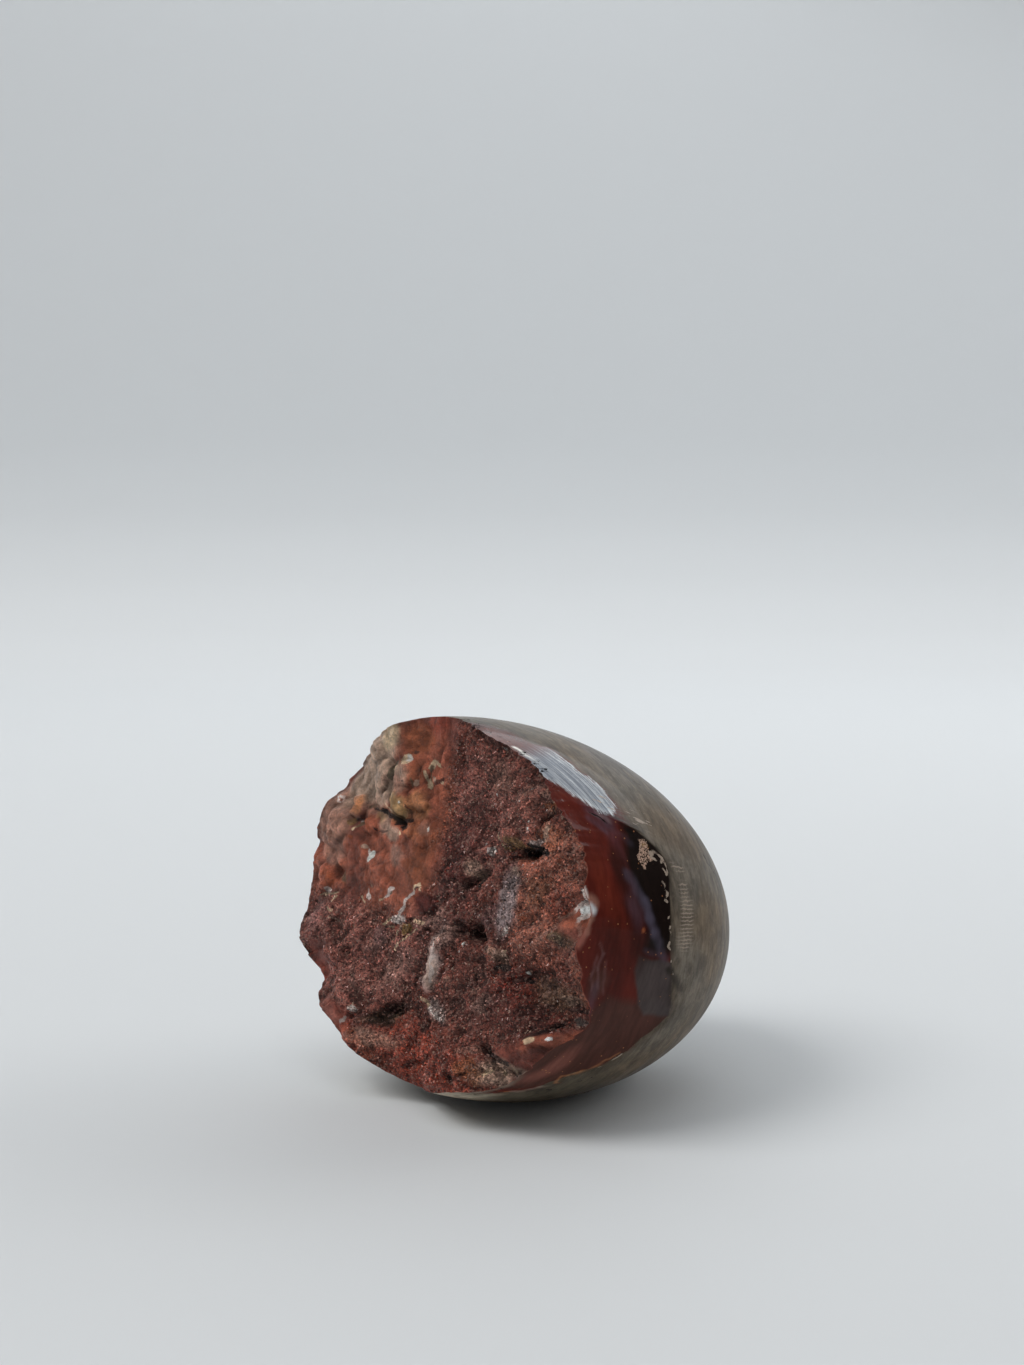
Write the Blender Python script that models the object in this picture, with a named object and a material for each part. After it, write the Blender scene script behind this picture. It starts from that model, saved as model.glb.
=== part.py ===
# Red chalcedony: one egg-like nodule lying on its side.
# Its outside is ground and polished to a smooth dome, and the end that faces left and forwards is a raw,
# broken, granular face. A small flat is ground on the underside, and the stone rests on it.
# Units are metres, +Z is up, and the origin is the bottom centre of the stone's box.

import math

import bmesh
import bpy
from mathutils import Vector, noise

MM = 0.001

# The nodule before it broke is an ellipsoid: half lengths out through the raw face, across it and up it.
HALF_LENGTH = 38.0 * MM
HALF_WIDTH = 30.5 * MM
HALF_HEIGHT = 25.5 * MM

# Where the ellipsoid's centre lies, with the underside's lowest point cut off flat at z = 0.
CENTRE = Vector((-3.3 * MM, -2.5 * MM, 25.8 * MM))

# The raw face looks to the left and forwards, a little upwards, and its long way across runs down to the right.
FACE_TURN = math.radians(47.0)
FACE_TILT = math.radians(12.0)
FACE_ROLL = math.radians(-14.5)

# Heights along the face's outward axis, measured from the ellipsoid's centre.
RIM_HEIGHT = 9.5 * MM
FACE_HEIGHT = 10.6 * MM

# Lobes and notches of the broken rim: degrees round the face, spread in degrees, height in millimetres.
RIM_SHAPE = (
    (85.0, 14.0, 2.0),
    (124.0, 7.0, 1.4),
    (157.0, 9.0, -3.2),
    (-168.0, 6.0, -1.4),
    (-141.0, 7.0, 2.4),
    (-127.5, 3.0, -2.6),
    (-117.0, 5.0, 2.2),
    (-100.0, 9.0, 3.0),
    (-78.0, 6.0, -2.6),
    (-32.0, 2.5, -1.4),
    (-24.0, 4.0, 3.2),
    (-10.0, 6.0, -3.2),
    (12.0, 6.0, 1.8),
)
RIM_RAGGED = 0.30 * MM
RIM_RAGGED_SIZE = 2.2 * MM

# The soft ridge behind the glossy crescent on the right: degrees round the face, height in millimetres.
RIDGE_LINE = (
    (66.0, 10.0),
    (57.0, 8.0),
    (53.0, 3.0),
    (48.0, -2.0),
    (42.0, -5.3),
    (18.0, -4.6),
    (0.0, -7.5),
    (-6.0, -8.5),
    (-18.0, -3.5),
    (-30.0, 2.5),
    (-45.0, 7.0),
)
RIDGE_GAP = 1.5 * MM
CRESCENT_RADIUS = 47.0 * MM
CRESCENT_FLATNESS = 1.25

# The raw face's relief, in millimetres on the face: right, up, half length, half width, turn in degrees, height.
LUMPS = (
    (-12.2, 10.0, 2.5, 2.1, 0.0, 1.4),
    (-8.8, 11.4, 2.0, 2.0, 0.0, 1.2),
    (-18.4, 7.2, 2.0, 1.8, 0.0, 1.2),
    (-15.2, 8.6, 1.7, 1.5, 0.0, 0.9),
    (-13.5, 13.6, 2.6, 2.1, 20.0, 1.0),
    (-17.6, 11.4, 2.8, 2.0, 60.0, 0.9),
    (-20.7, 4.7, 1.6, 1.5, 0.0, 0.9),
    (-17.0, 4.2, 1.7, 1.3, 10.0, 0.8),
    (-9.3, 6.8, 1.5, 1.3, 0.0, 0.9),
    (-21.0, 14.6, 2.4, 2.0, 40.0, 0.8),
    (-24.0, 1.6, 2.6, 3.0, 0.0, 0.8),
    (-22.6, -5.8, 1.9, 1.8, 0.0, 1.0),
    (-25.3, 5.3, 0.9, 0.9, 0.0, 0.5),
    (-9.6, 14.6, 1.1, 2.2, -15.0, 0.6),
    (-6.4, 18.4, 0.8, 1.8, -10.0, 0.5),
    (6.7, 9.8, 1.2, 1.0, 0.0, 0.6),
    (4.2, 6.3, 2.1, 1.7, 30.0, 0.8),
    (12.6, 20.4, 1.5, 1.4, 0.0, 0.8),
    (9.6, 13.3, 1.8, 1.2, 10.0, 0.8),
    (14.4, 15.0, 1.3, 2.2, -10.0, 0.8),
    (27.6, -6.8, 3.8, 1.3, 30.0, 1.0),
    (21.4, -16.0, 3.0, 1.5, 20.0, 0.8),
    (24.6, -14.2, 1.6, 1.2, 20.0, 0.7),
    (14.2, -1.2, 1.4, 1.6, 0.0, 0.7),
    (28.4, -3.6, 1.3, 1.0, 0.0, 0.6),
)

# Broad swells and hollows, written as the lumps are.
SWELLS = (
    (11.4, 16.8, 3.6, 4.2, -10.0, 1.5),
    (20.0, 11.5, 6.5, 7.5, 0.0, 0.7),
    (8.0, -20.4, 9.0, 3.2, 8.0, 0.7),
    (-8.0, 3.0, 7.0, 9.0, 20.0, 0.6),
    (10.4, -7.2, 5.2, 5.8, 0.0, -0.8),
    (24.6, -3.4, 4.2, 2.6, 25.0, -0.7),
    (24.0, -10.6, 4.0, 2.2, 30.0, 1.2),
    (-4.0, -13.0, 7.5, 3.2, 38.0, -0.8),
    (-11.0, -10.0, 6.0, 2.0, 38.0, 0.5),
    (1.0, 14.0, 5.0, 8.0, -20.0, -0.5),
)

# Pits, written as the lumps are.
PITS = (
    (13.0, 12.3, 2.0, 0.8, 18.0, -2.2),
    (9.2, -0.5, 1.8, 1.1, 10.0, -2.6),
    (6.5, -1.3, 1.4, 0.9, 0.0, -1.3),
    (-20.7, -4.2, 1.1, 1.0, 0.0, -1.4),
    (-1.4, -16.8, 1.8, 1.0, 30.0, -2.0),
    (-2.5, -19.0, 2.2, 0.9, 10.0, -1.2),
    (-11.3, 7.3, 2.1, 0.7, -5.0, -1.7),
    (-17.0, 13.6, 1.1, 0.7, 40.0, -0.8),
    (13.2, -19.6, 0.8, 0.7, 0.0, -0.8),
    (7.8, -15.5, 1.2, 0.6, -30.0, -1.1),
    (1.5, 1.0, 1.5, 0.9, 40.0, -0.7),
)

# Crests and slits, in millimetres on the face: from right, up, to right, up, half width, height.
CRESTS = (
    (6.5, 2.2, 4.2, -3.9, 0.9, 0.7),
    (4.2, -3.9, 3.0, -10.0, 0.9, 0.9),
    (3.0, -10.0, 4.2, -12.6, 0.9, 0.9),
    (4.2, -12.6, 8.0, -14.0, 0.9, 0.8),
    (-19.0, -8.0, -15.7, -14.6, 1.2, 0.7),
    (-15.7, -14.6, -8.6, -19.8, 1.2, 0.7),
    (-8.6, -19.8, -4.6, -22.2, 1.2, 0.5),
    (16.5, -4.4, 13.5, -9.0, 0.9, 0.6),
    (4.5, 4.1, 7.2, 6.9, 0.5, -1.5),
    (18.6, -13.0, 21.8, -14.4, 0.7, -1.7),
    (22.6, -9.9, 28.4, -5.0, 0.6, -1.1),
    (19.8, -2.4, 24.7, 1.0, 0.6, -1.2),
    (5.3, -22.0, 9.0, -18.6, 0.5, -0.6),
    (15.8, 19.4, 14.9, 16.0, 0.4, -0.8),
)

# Grain of the broken surface: noise size, and its height in the smooth waxy part and in the granular part.
GRAIN_SIZE = 3.6 * MM
GRAIN_WAXY = 0.35 * MM
GRAIN_ROUGH = 0.75 * MM
GRAIN_OCTAVES = 3
WAXY_CENTRE = (-11.0 * MM, 6.0 * MM)
WAXY_REACH = (11.0 * MM, 14.0 * MM)
EDGE_FADE = 0.06

# Mesh: quads along each side of the starting cube, and which of its rings the rim and the ridge lie on.
SIDE_QUADS = 64
RIM_RING = 51
RIDGE_RING = 69
LAST_RING = 2 * SIDE_QUADS
FACET_SHARE = 0.195

FLOOR_BLOCK = 0.2

STONE_NAME = "chalcedony_stone"
STONE_RED = (0.115, 0.030, 0.022, 1.0)
STONE_ROUGHNESS = 0.45


def clear_scene():
    for old in list(bpy.data.objects):
        bpy.data.objects.remove(old, do_unlink=True)


def new_collection(name):
    collection = bpy.data.collections.new(name)
    bpy.context.scene.collection.children.link(collection)
    return collection


def face_axes():
    """Unit vectors out of the raw face, to its right and up it."""
    out = Vector((
        -math.sin(FACE_TURN) * math.cos(FACE_TILT),
        -math.cos(FACE_TURN) * math.cos(FACE_TILT),
        math.sin(FACE_TILT),
    ))
    level = Vector((0.0, 0.0, 1.0)).cross(out).normalized()
    upward = out.cross(level)
    right = level * math.cos(FACE_ROLL) + upward * math.sin(FACE_ROLL)
    up = upward * math.cos(FACE_ROLL) - level * math.sin(FACE_ROLL)
    return out, right, up


def smoothstep(low, high, value):
    share = min(max((value - low) / (high - low), 0.0), 1.0)
    return share * share * (3.0 - 2.0 * share)


def angle_between(first, second):
    """Difference of two angles in degrees, from -180 to 180."""
    return (first - second + 180.0) % 360.0 - 180.0


def rim_height(turn):
    """Height of the broken rim along the face's axis, at a turn in radians."""
    degrees = math.degrees(turn)
    height = RIM_HEIGHT
    for place, spread, rise in RIM_SHAPE:
        height += rise * MM * math.exp(-(angle_between(degrees, place) / spread) ** 2)
    place = Vector((math.cos(turn) * HALF_WIDTH, math.sin(turn) * HALF_HEIGHT, 0.0)) / RIM_RAGGED_SIZE
    return height + RIM_RAGGED * noise.noise(place)


def ridge_height(turn):
    """Height of the ridge behind the crescent; just under the rim where there is no crescent."""
    degrees = angle_between(math.degrees(turn), 0.0)
    under_rim = rim_height(turn) - RIDGE_GAP
    for (high, high_mm), (low, low_mm) in zip(RIDGE_LINE, RIDGE_LINE[1:]):
        if low <= degrees <= high:
            share = smoothstep(low, high, degrees)
            return min((low_mm + (high_mm - low_mm) * share) * MM, under_rim)
    return under_rim


def dome_radius(height):
    """Share of the full width that the ellipsoid has at a height along the face's axis."""
    return math.sqrt(max(1.0 - (height / HALF_LENGTH) ** 2, 0.0))


def dome_point(turn, share_down):
    """Place on the ground outside, from the rim (0) over the ridge (1) to the far pole (2)."""
    rim = rim_height(turn)
    ridge = ridge_height(turn)
    rim_angle = math.acos(rim / HALF_LENGTH)
    ridge_angle = math.acos(ridge / HALF_LENGTH)
    if share_down <= 1.0:
        polar = rim_angle + (ridge_angle - rim_angle) * share_down
    else:
        polar = ridge_angle + (math.pi - ridge_angle) * (share_down - 1.0)
    height = HALF_LENGTH * math.cos(polar)
    flat = 0.0
    if ridge < height < rim:
        flat = CRESCENT_FLATNESS * (height - ridge) * (rim - height) / (2.0 * CRESCENT_RADIUS)
    spread = math.sin(polar)
    right = (HALF_WIDTH * spread - flat) * math.cos(turn)
    up = (HALF_HEIGHT * spread - flat) * math.sin(turn)
    return right, up, height


def reach(right, up, feature):
    """Squared distance from a lump's or pit's middle, as a share of its own size."""
    middle_right, middle_up, half_length, half_width, degrees, _ = feature
    across = right - middle_right * MM
    along = up - middle_up * MM
    turn = math.radians(degrees)
    length = across * math.cos(turn) + along * math.sin(turn)
    width = along * math.cos(turn) - across * math.sin(turn)
    return (length / (half_length * MM)) ** 2 + (width / (half_width * MM)) ** 2


def line_distance(right, up, line):
    """Distance from a crest's or slit's line."""
    start = Vector((line[0], line[1])) * MM
    end = Vector((line[2], line[3])) * MM
    run = end - start
    point = Vector((right, up))
    share = min(max((point - start).dot(run) / run.length_squared, 0.0), 1.0)
    return (point - start - run * share).length


def grain(right, up):
    """Height of the broken surface's grain, low where the stone is waxy."""
    across = (right - WAXY_CENTRE[0]) / WAXY_REACH[0]
    along = (up - WAXY_CENTRE[1]) / WAXY_REACH[1]
    rough = smoothstep(0.6, 1.3, across * across + along * along)
    strength = GRAIN_WAXY + (GRAIN_ROUGH - GRAIN_WAXY) * rough
    height = 0.0
    scale = 1.0
    for _ in range(GRAIN_OCTAVES):
        height += strength * scale * noise.noise(Vector((right, up, 0.0)) / (GRAIN_SIZE * scale))
        scale *= 0.5
    return height


def relief(right, up):
    """Height of the raw face's lumps, hollows, crests and grain over its plain surface."""
    height = grain(right, up)
    for swell in SWELLS:
        height += swell[5] * MM * math.exp(-reach(right, up, swell) ** 2)
    lump_height = 0.0
    for lump in LUMPS:
        dome = math.sqrt(max(1.0 - reach(right, up, lump), 0.0))
        lump_height = max(lump_height, lump[5] * MM * dome)
    height += lump_height
    for pit in PITS:
        height += pit[5] * MM * math.exp(-reach(right, up, pit))
    for crest in CRESTS:
        height += crest[5] * MM * math.exp(-(line_distance(right, up, crest) / (crest[4] * MM)) ** 2)
    return height


def face_point(turn, share_out):
    """Place on the raw face, from its middle (0) to the rim (1)."""
    rim = rim_height(turn)
    rim_radius = dome_radius(rim)
    right = HALF_WIDTH * rim_radius * math.cos(turn) * share_out
    up = HALF_HEIGHT * rim_radius * math.sin(turn) * share_out
    plain = FACE_HEIGHT + (rim - FACE_HEIGHT) * share_out ** 3
    fade = 1.0 - smoothstep(1.0 - EDGE_FADE, 1.0, share_out)
    return right, up, plain + relief(right, up) * fade


def ring_and_turn(corner):
    """Ring number from the middle of the cube's top down to the middle of its bottom, and the turn round it."""
    x, y, z = corner
    half = SIDE_QUADS / 2.0
    edge = max(abs(x), abs(y))
    if edge < 1.0 - 1e-6:
        ring = edge * half if z > 0.0 else LAST_RING - edge * half
    else:
        ring = half + (1.0 - z) * half
    if edge < 1e-6:
        turn = 0.0
    elif abs(x) >= abs(y):
        turn = math.pi / 4.0 * y / x + (math.pi if x < 0.0 else 0.0)
    else:
        turn = math.pi / 2.0 - math.pi / 4.0 * x / y + (math.pi if y < 0.0 else 0.0)
    return ring, turn


def stone_point(corner):
    ring, turn = ring_and_turn(corner)
    if ring <= RIM_RING:
        return face_point(turn, ring / RIM_RING)
    if ring <= RIDGE_RING:
        return dome_point(turn, (ring - RIM_RING) / (RIDGE_RING - RIM_RING))
    return dome_point(turn, 1.0 + (ring - RIDGE_RING) / (LAST_RING - RIDGE_RING))


def stone_mesh():
    """A subdivided cube whose top spreads into the raw face and whose sides and bottom close the dome."""
    out, right_axis, up_axis = face_axes()
    shape = bmesh.new()
    bmesh.ops.create_cube(shape, size=2.0)
    bmesh.ops.subdivide_edges(shape, edges=shape.edges[:], cuts=SIDE_QUADS - 1, use_grid_fill=True)
    for vert in shape.verts:
        right, up, height = stone_point(vert.co)
        vert.co = CENTRE + right_axis * right + up_axis * up + out * height
    bmesh.ops.triangulate(shape, faces=shape.faces[:])
    bmesh.ops.recalc_face_normals(shape, faces=shape.faces[:])
    mesh = bpy.data.meshes.new(STONE_NAME)
    shape.to_mesh(mesh)
    shape.free()
    return mesh


def stone_material():
    material = bpy.data.materials.new("polished_red_chalcedony")
    material.use_nodes = True
    shader = material.node_tree.nodes["Principled BSDF"]
    shader.inputs["Base Color"].default_value = STONE_RED
    shader.inputs["Roughness"].default_value = STONE_ROUGHNESS
    shader.inputs["Metallic"].default_value = 0.0
    return material


def floor_cutter(collection):
    """The block that grinds the underside flat at z = 0."""
    shape = bmesh.new()
    bmesh.ops.create_cube(shape, size=FLOOR_BLOCK)
    mesh = bpy.data.meshes.new("flat_cutter")
    shape.to_mesh(mesh)
    shape.free()
    cutter = bpy.data.objects.new("flat_cutter", mesh)
    cutter.location = (0.0, 0.0, -FLOOR_BLOCK / 2.0)
    cutter.hide_render = True
    cutter.display_type = "WIRE"
    collection.objects.link(cutter)
    return cutter


def build_stone():
    clear_scene()
    parts = new_collection("red_chalcedony")
    cutters = new_collection("cutters")
    stone = bpy.data.objects.new(STONE_NAME, stone_mesh())
    stone.data.materials.append(stone_material())
    parts.objects.link(stone)

    thinning = stone.modifiers.new("fewer_facets", "DECIMATE")
    thinning.decimate_type = "COLLAPSE"
    thinning.ratio = FACET_SHARE

    grinding = stone.modifiers.new("resting_flat", "BOOLEAN")
    grinding.operation = "DIFFERENCE"
    grinding.solver = "EXACT"
    grinding.object = floor_cutter(cutters)

    stone.data.shade_smooth()
    stone.data.set_sharp_from_angle(angle=math.radians(40.0))


build_stone()
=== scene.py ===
# %% [markdown]
# # Red chalcedony, lying on its side
# This stone is a nodule that grew in a cavity. Its outside has been ground and polished like an egg, and one
# end is a raw broken face: sugary quartz grains, waxy lumps, white veins and pits, all brick red to plum.
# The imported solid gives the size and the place. Its own look is built here as one dense mesh with painted
# and procedural colours, and a dusting of real quartz grains on the broken face.

import math

import bmesh
import bpy
import numpy as np
from mathutils import Euler, Matrix, Vector, noise


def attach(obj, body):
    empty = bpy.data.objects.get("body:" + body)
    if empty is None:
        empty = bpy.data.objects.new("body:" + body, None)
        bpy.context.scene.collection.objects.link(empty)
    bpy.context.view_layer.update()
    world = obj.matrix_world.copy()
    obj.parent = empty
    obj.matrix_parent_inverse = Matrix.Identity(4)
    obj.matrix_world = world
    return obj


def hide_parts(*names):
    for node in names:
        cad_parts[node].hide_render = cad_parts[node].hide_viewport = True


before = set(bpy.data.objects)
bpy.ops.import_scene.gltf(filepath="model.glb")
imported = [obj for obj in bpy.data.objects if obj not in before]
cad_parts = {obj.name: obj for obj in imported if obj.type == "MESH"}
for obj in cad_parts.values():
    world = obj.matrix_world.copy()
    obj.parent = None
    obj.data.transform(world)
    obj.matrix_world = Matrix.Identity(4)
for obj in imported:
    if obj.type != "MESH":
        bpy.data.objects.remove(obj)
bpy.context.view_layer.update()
MM = 0.001

# %% [markdown]
# ## Camera
# The photograph was taken from just above the level of the stone, with a normal lens, a few stone widths
# away. The camera's place was worked out from the outline, so here it is only set down.

# %% Camera
CAMERA_PLACE = Vector((-0.04, -261.86, 80.63)) * MM
CAMERA_DOWN = math.radians(5.217)

camera_data = bpy.data.cameras.new("camera")
camera_data.lens = 50.0
camera_data.sensor_width = 36.0
camera_data.clip_start = 0.01
camera = bpy.data.objects.new("camera", camera_data)
camera.location = CAMERA_PLACE
camera.rotation_euler = (math.pi / 2.0 - CAMERA_DOWN, 0.0, 0.0)
bpy.context.scene.collection.objects.link(camera)
bpy.context.scene.camera = camera
print("camera looks down by", round(math.degrees(CAMERA_DOWN), 1), "degrees")

# %% [markdown]
# ## Stage
# The stone lies in front of a pale wall on a pale table. A sheet that sweeps up behind it gives both without
# a hard seam: a grid whose far rows are lifted along a quarter circle.

# %% Floor that sweeps up into a wall
FLOOR_HALF_WIDTH = 1.1
FLOOR_FRONT = -0.75
WALL_START = 0.62
WALL_BEND = 0.10
WALL_TOP = 1.5

shape = bmesh.new()
bmesh.ops.create_grid(shape, x_segments=12, y_segments=80, size=1.0)
for vert in shape.verts:
    run = FLOOR_FRONT + (vert.co.y + 1.0) / 2.0 * (WALL_START - FLOOR_FRONT + WALL_TOP)
    x = vert.co.x * FLOOR_HALF_WIDTH
    past = run - WALL_START
    bend = WALL_BEND * math.pi / 2.0
    if past <= 0.0:
        vert.co = (x, run, 0.0)
    elif past < bend:
        turn = past / WALL_BEND
        vert.co = (x, WALL_START + WALL_BEND * math.sin(turn), WALL_BEND * (1.0 - math.cos(turn)))
    else:
        vert.co = (x, WALL_START + WALL_BEND, WALL_BEND + past - bend)
bmesh.ops.recalc_face_normals(shape, faces=shape.faces[:])
floor_mesh = bpy.data.meshes.new("pale_sweep")
shape.to_mesh(floor_mesh)
shape.free()
floor_mesh.shade_smooth()
floor = bpy.data.objects.new("pale_sweep", floor_mesh)
bpy.context.scene.collection.objects.link(floor)

floor_paint = bpy.data.materials.new("pale_matt")
floor_paint.use_nodes = True
floor_shader = floor_paint.node_tree.nodes["Principled BSDF"]
floor_shader.inputs["Base Color"].default_value = (0.72, 0.745, 0.765, 1.0)
floor_shader.inputs["Roughness"].default_value = 0.75
floor.data.materials.append(floor_paint)
print("floor and wall:", len(floor_mesh.polygons), "quads")

# %% [markdown]
# ## Light
# One big soft window stands high on the left and a little in front, so the broken face is lit along its
# grain and the shadow falls to the right. A wide panel behind and above puts the pale sheen on top of the
# polish. A weak fill on the right lifts the shadow; it isn't mirrored, or the gloss would show a second
# window. A wash keeps the wall even, and a dim, even room does the rest.

# %% Four soft lights and a dim room
def area_light(name, place, target, width, height, power, colour, mirrored=True):
    """A soft rectangular light that looks at a target; unless mirrored, the gloss doesn't show it."""
    data = bpy.data.lights.new(name, "AREA")
    data.shape = "RECTANGLE"
    data.size = width
    data.size_y = height
    data.energy = power
    data.color = colour
    light = bpy.data.objects.new(name, data)
    light.location = place
    light.rotation_euler = (Vector(target) - Vector(place)).to_track_quat("-Z", "Y").to_euler()
    light.visible_glossy = mirrored
    bpy.context.scene.collection.objects.link(light)
    return light


area_light("window", (-2.28, -0.75, 2.82), (0.0, 0.0, 0.02), 1.9, 1.9, 63.0, (1.0, 0.98, 0.95))
area_light("back_panel", (0.25, 0.56, 0.52), (0.1, 0.0, 0.0), 1.0, 0.3, 1.3, (0.93, 0.97, 1.0))
area_light("right_fill", (1.25, 0.42, 0.70), (0.25, 0.0, 0.0), 0.8, 0.8, 4.6, (1.0, 0.985, 0.97), False)
area_light("wall_wash", (-0.2, -0.2, 1.25), (0.0, 0.7, 0.45), 1.2, 0.6, 3.2, (0.97, 0.99, 1.0))

room = bpy.data.worlds.new("dim_room")
bpy.context.scene.world = room
room.use_nodes = True
room_nodes = room.node_tree.nodes
room_links = room.node_tree.links
room_nodes.clear()
towards = room_nodes.new("ShaderNodeTexCoord")
split = room_nodes.new("ShaderNodeSeparateXYZ")
fall = room_nodes.new("ShaderNodeMapRange")
fall.inputs["From Min"].default_value = -0.9
fall.inputs["From Max"].default_value = 0.55
tint = room_nodes.new("ShaderNodeValToRGB")
tint.color_ramp.elements[0].color = (0.62, 0.65, 0.68, 1.0)
tint.color_ramp.elements[1].color = (0.56, 0.555, 0.55, 1.0)
glow = room_nodes.new("ShaderNodeBackground")
glow.inputs["Strength"].default_value = 0.33
room_out = room_nodes.new("ShaderNodeOutputWorld")
room_links.new(towards.outputs["Generated"], split.inputs["Vector"])
room_links.new(split.outputs["X"], fall.inputs["Value"])
room_links.new(fall.outputs["Result"], tint.inputs["Fac"])
room_links.new(tint.outputs["Color"], glow.inputs["Color"])
room_links.new(glow.outputs["Background"], room_out.inputs["Surface"])
bpy.context.scene.view_settings.view_transform = "Standard"
print("four soft lights and a dim room")

# %% [markdown]
# ## The stone's own measures
# The solid is an ellipsoid lying on its side, cut off by the raw face. The dome's named sizes are the same
# here as in the solid, in millimetres, so the boxes of the two agree to about a tenth of a millimetre. The
# broken rim is followed more finely here. All shapes are worked out in the face's own directions: right
# across it, up it, and out of it.

# %% Ellipsoid, face directions, rim and ridge
HALF_LENGTH = 38.0
HALF_WIDTH = 30.5
HALF_HEIGHT = 25.5
CENTRE = Vector((-3.3, -2.5, 25.8))
FACE_TURN = math.radians(47.0)
FACE_TILT = math.radians(12.0)
FACE_ROLL = math.radians(-14.5)
RIM_HEIGHT = 9.5
FACE_HEIGHT = 10.6
RIM_RAGGED = 0.30
RIM_RAGGED_SIZE = 2.2
RIM_CHIPS = 0.24
RIM_CHIP_SIZE = 1.3

# Lobes and notches of the broken rim: degrees round the face, spread in degrees, height.
RIM_SHAPE = (
    (130.0, 7.0, 1.5), (149.5, 5.5, -1.9), (159.5, 7.5, -2.9), (167.0, 3.5, -1.4), (-172.5, 2.5, -0.8),
    (-164.0, 12.0, -1.1), (-141.0, 7.0, 2.4), (-128.5, 3.5, -1.2), (-116.5, 7.0, 3.0), (-100.0, 9.0, 3.0),
    (-78.0, 6.0, -2.2), (-58.0, 9.0, 2.2), (-8.5, 7.5, -3.3), (13.0, 7.0, 2.0), (30.0, 4.0, 0.9),
    (58.0, 8.0, 1.4), (88.0, 14.0, 2.2),
)

# The soft ridge behind the glossy crescent: degrees round the face, height.
RIDGE_LINE = (
    (66.0, 10.0), (57.0, 8.0), (53.0, 3.0), (48.0, -2.0), (42.0, -5.3), (18.0, -4.6), (0.0, -7.5),
    (-6.0, -8.5), (-18.0, -3.5), (-30.0, 2.5), (-45.0, 7.0),
)
RIDGE_GAP = 1.5
CRESCENT_RADIUS = 47.0
CRESCENT_FLATNESS = 1.25


def face_axes():
    """Unit vectors out of the raw face, to its right and up it."""
    out = Vector((
        -math.sin(FACE_TURN) * math.cos(FACE_TILT),
        -math.cos(FACE_TURN) * math.cos(FACE_TILT),
        math.sin(FACE_TILT),
    ))
    level = Vector((0.0, 0.0, 1.0)).cross(out).normalized()
    upward = out.cross(level)
    right = level * math.cos(FACE_ROLL) + upward * math.sin(FACE_ROLL)
    up = upward * math.cos(FACE_ROLL) - level * math.sin(FACE_ROLL)
    return out, right, up


OUT_AXIS, RIGHT_AXIS, UP_AXIS = face_axes()
print("out of the face:", [round(value, 3) for value in OUT_AXIS])


# %% Helpers that work on whole arrays of points
def smoothstep(low, high, value):
    share = np.clip((value - low) / (high - low), 0.0, 1.0)
    return share * share * (3.0 - 2.0 * share)


def degrees_between(first, second):
    return (first - second + 180.0) % 360.0 - 180.0


def waves(size, *axes):
    """Smooth noise, about -1 to 1, whose waves are about size long; the axes are arrays of one length."""
    points = np.stack(np.broadcast_arrays(*axes), axis=1) / size
    return np.array([noise.noise(point) for point in points.tolist()])


def grains(size, *axes):
    """Small domes packed side by side: 0 in the seams between them, 1 on their tops."""
    points = np.stack(np.broadcast_arrays(*axes), axis=1) / size
    nearest = np.array([noise.voronoi(point)[0][:2] for point in points.tolist()])
    return np.clip((nearest[:, 1] - nearest[:, 0]) / 0.55, 0.0, 1.0)


def facets(size, *axes):
    """Flat chips that each lean their own way, as on broken stone: about -1 to 1, creased between chips."""
    points = np.stack(np.broadcast_arrays(*axes), axis=1) / size
    found = [noise.voronoi(point) for point in points.tolist()]
    middles = np.array([tuple(places[0]) for _, places in found])
    gap = np.array([distances[1] - distances[0] for distances, _ in found])
    lean = np.sin(middles * 37.0 + middles[:, (1, 2, 0)] * 91.0)
    chip = 0.55 * lean[:, 2] + 1.5 * ((points - middles)[:, :2] * lean[:, :2]).sum(axis=1)
    return chip * (0.3 + 0.7 * smoothstep(0.0, 0.14, gap))


def rim_height(turn):
    """Height of the broken rim along the face's axis."""
    height = np.full_like(turn, RIM_HEIGHT)
    for place, spread, rise in RIM_SHAPE:
        height += rise * np.exp(-(degrees_between(np.degrees(turn), place) / spread) ** 2)
    across = np.cos(turn) * HALF_WIDTH
    along = np.sin(turn) * HALF_HEIGHT
    height += RIM_RAGGED * waves(RIM_RAGGED_SIZE, across, along, 0.0)
    return height + RIM_CHIPS * facets(RIM_CHIP_SIZE, across, along, 90.0)


def ridge_height(turn, rim):
    """Height of the ridge behind the crescent; just under the rim where there is no crescent."""
    degrees = degrees_between(np.degrees(turn), 0.0)
    ridge = rim - RIDGE_GAP
    for (high, high_mm), (low, low_mm) in zip(RIDGE_LINE, RIDGE_LINE[1:]):
        inside = (degrees >= low) & (degrees <= high)
        share = smoothstep(low, high, degrees)
        ridge = np.where(inside, np.minimum(low_mm + (high_mm - low_mm) * share, rim - RIDGE_GAP), ridge)
    return ridge


def dome_radius(height):
    """Share of the full width that the ellipsoid has at a height along the face's axis."""
    return np.sqrt(np.clip(1.0 - (height / HALF_LENGTH) ** 2, 0.0, 1.0))


print("rim at the right and at the top:", rim_height(np.array([0.0, math.pi / 2.0])).round(2), "mm")

# %% [markdown]
# ## Relief of the broken face
# A fracture through chalcedony has three scales. Big lumps, hollows and crests can be felt with a thumb, and
# the solid has most of them too. Between them run chips of one to three millimetres. Last come sugary grains.
# Each named feature is one row of a table, so it can be found and moved; the noise that bends their edges
# keeps them from looking stamped.

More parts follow.
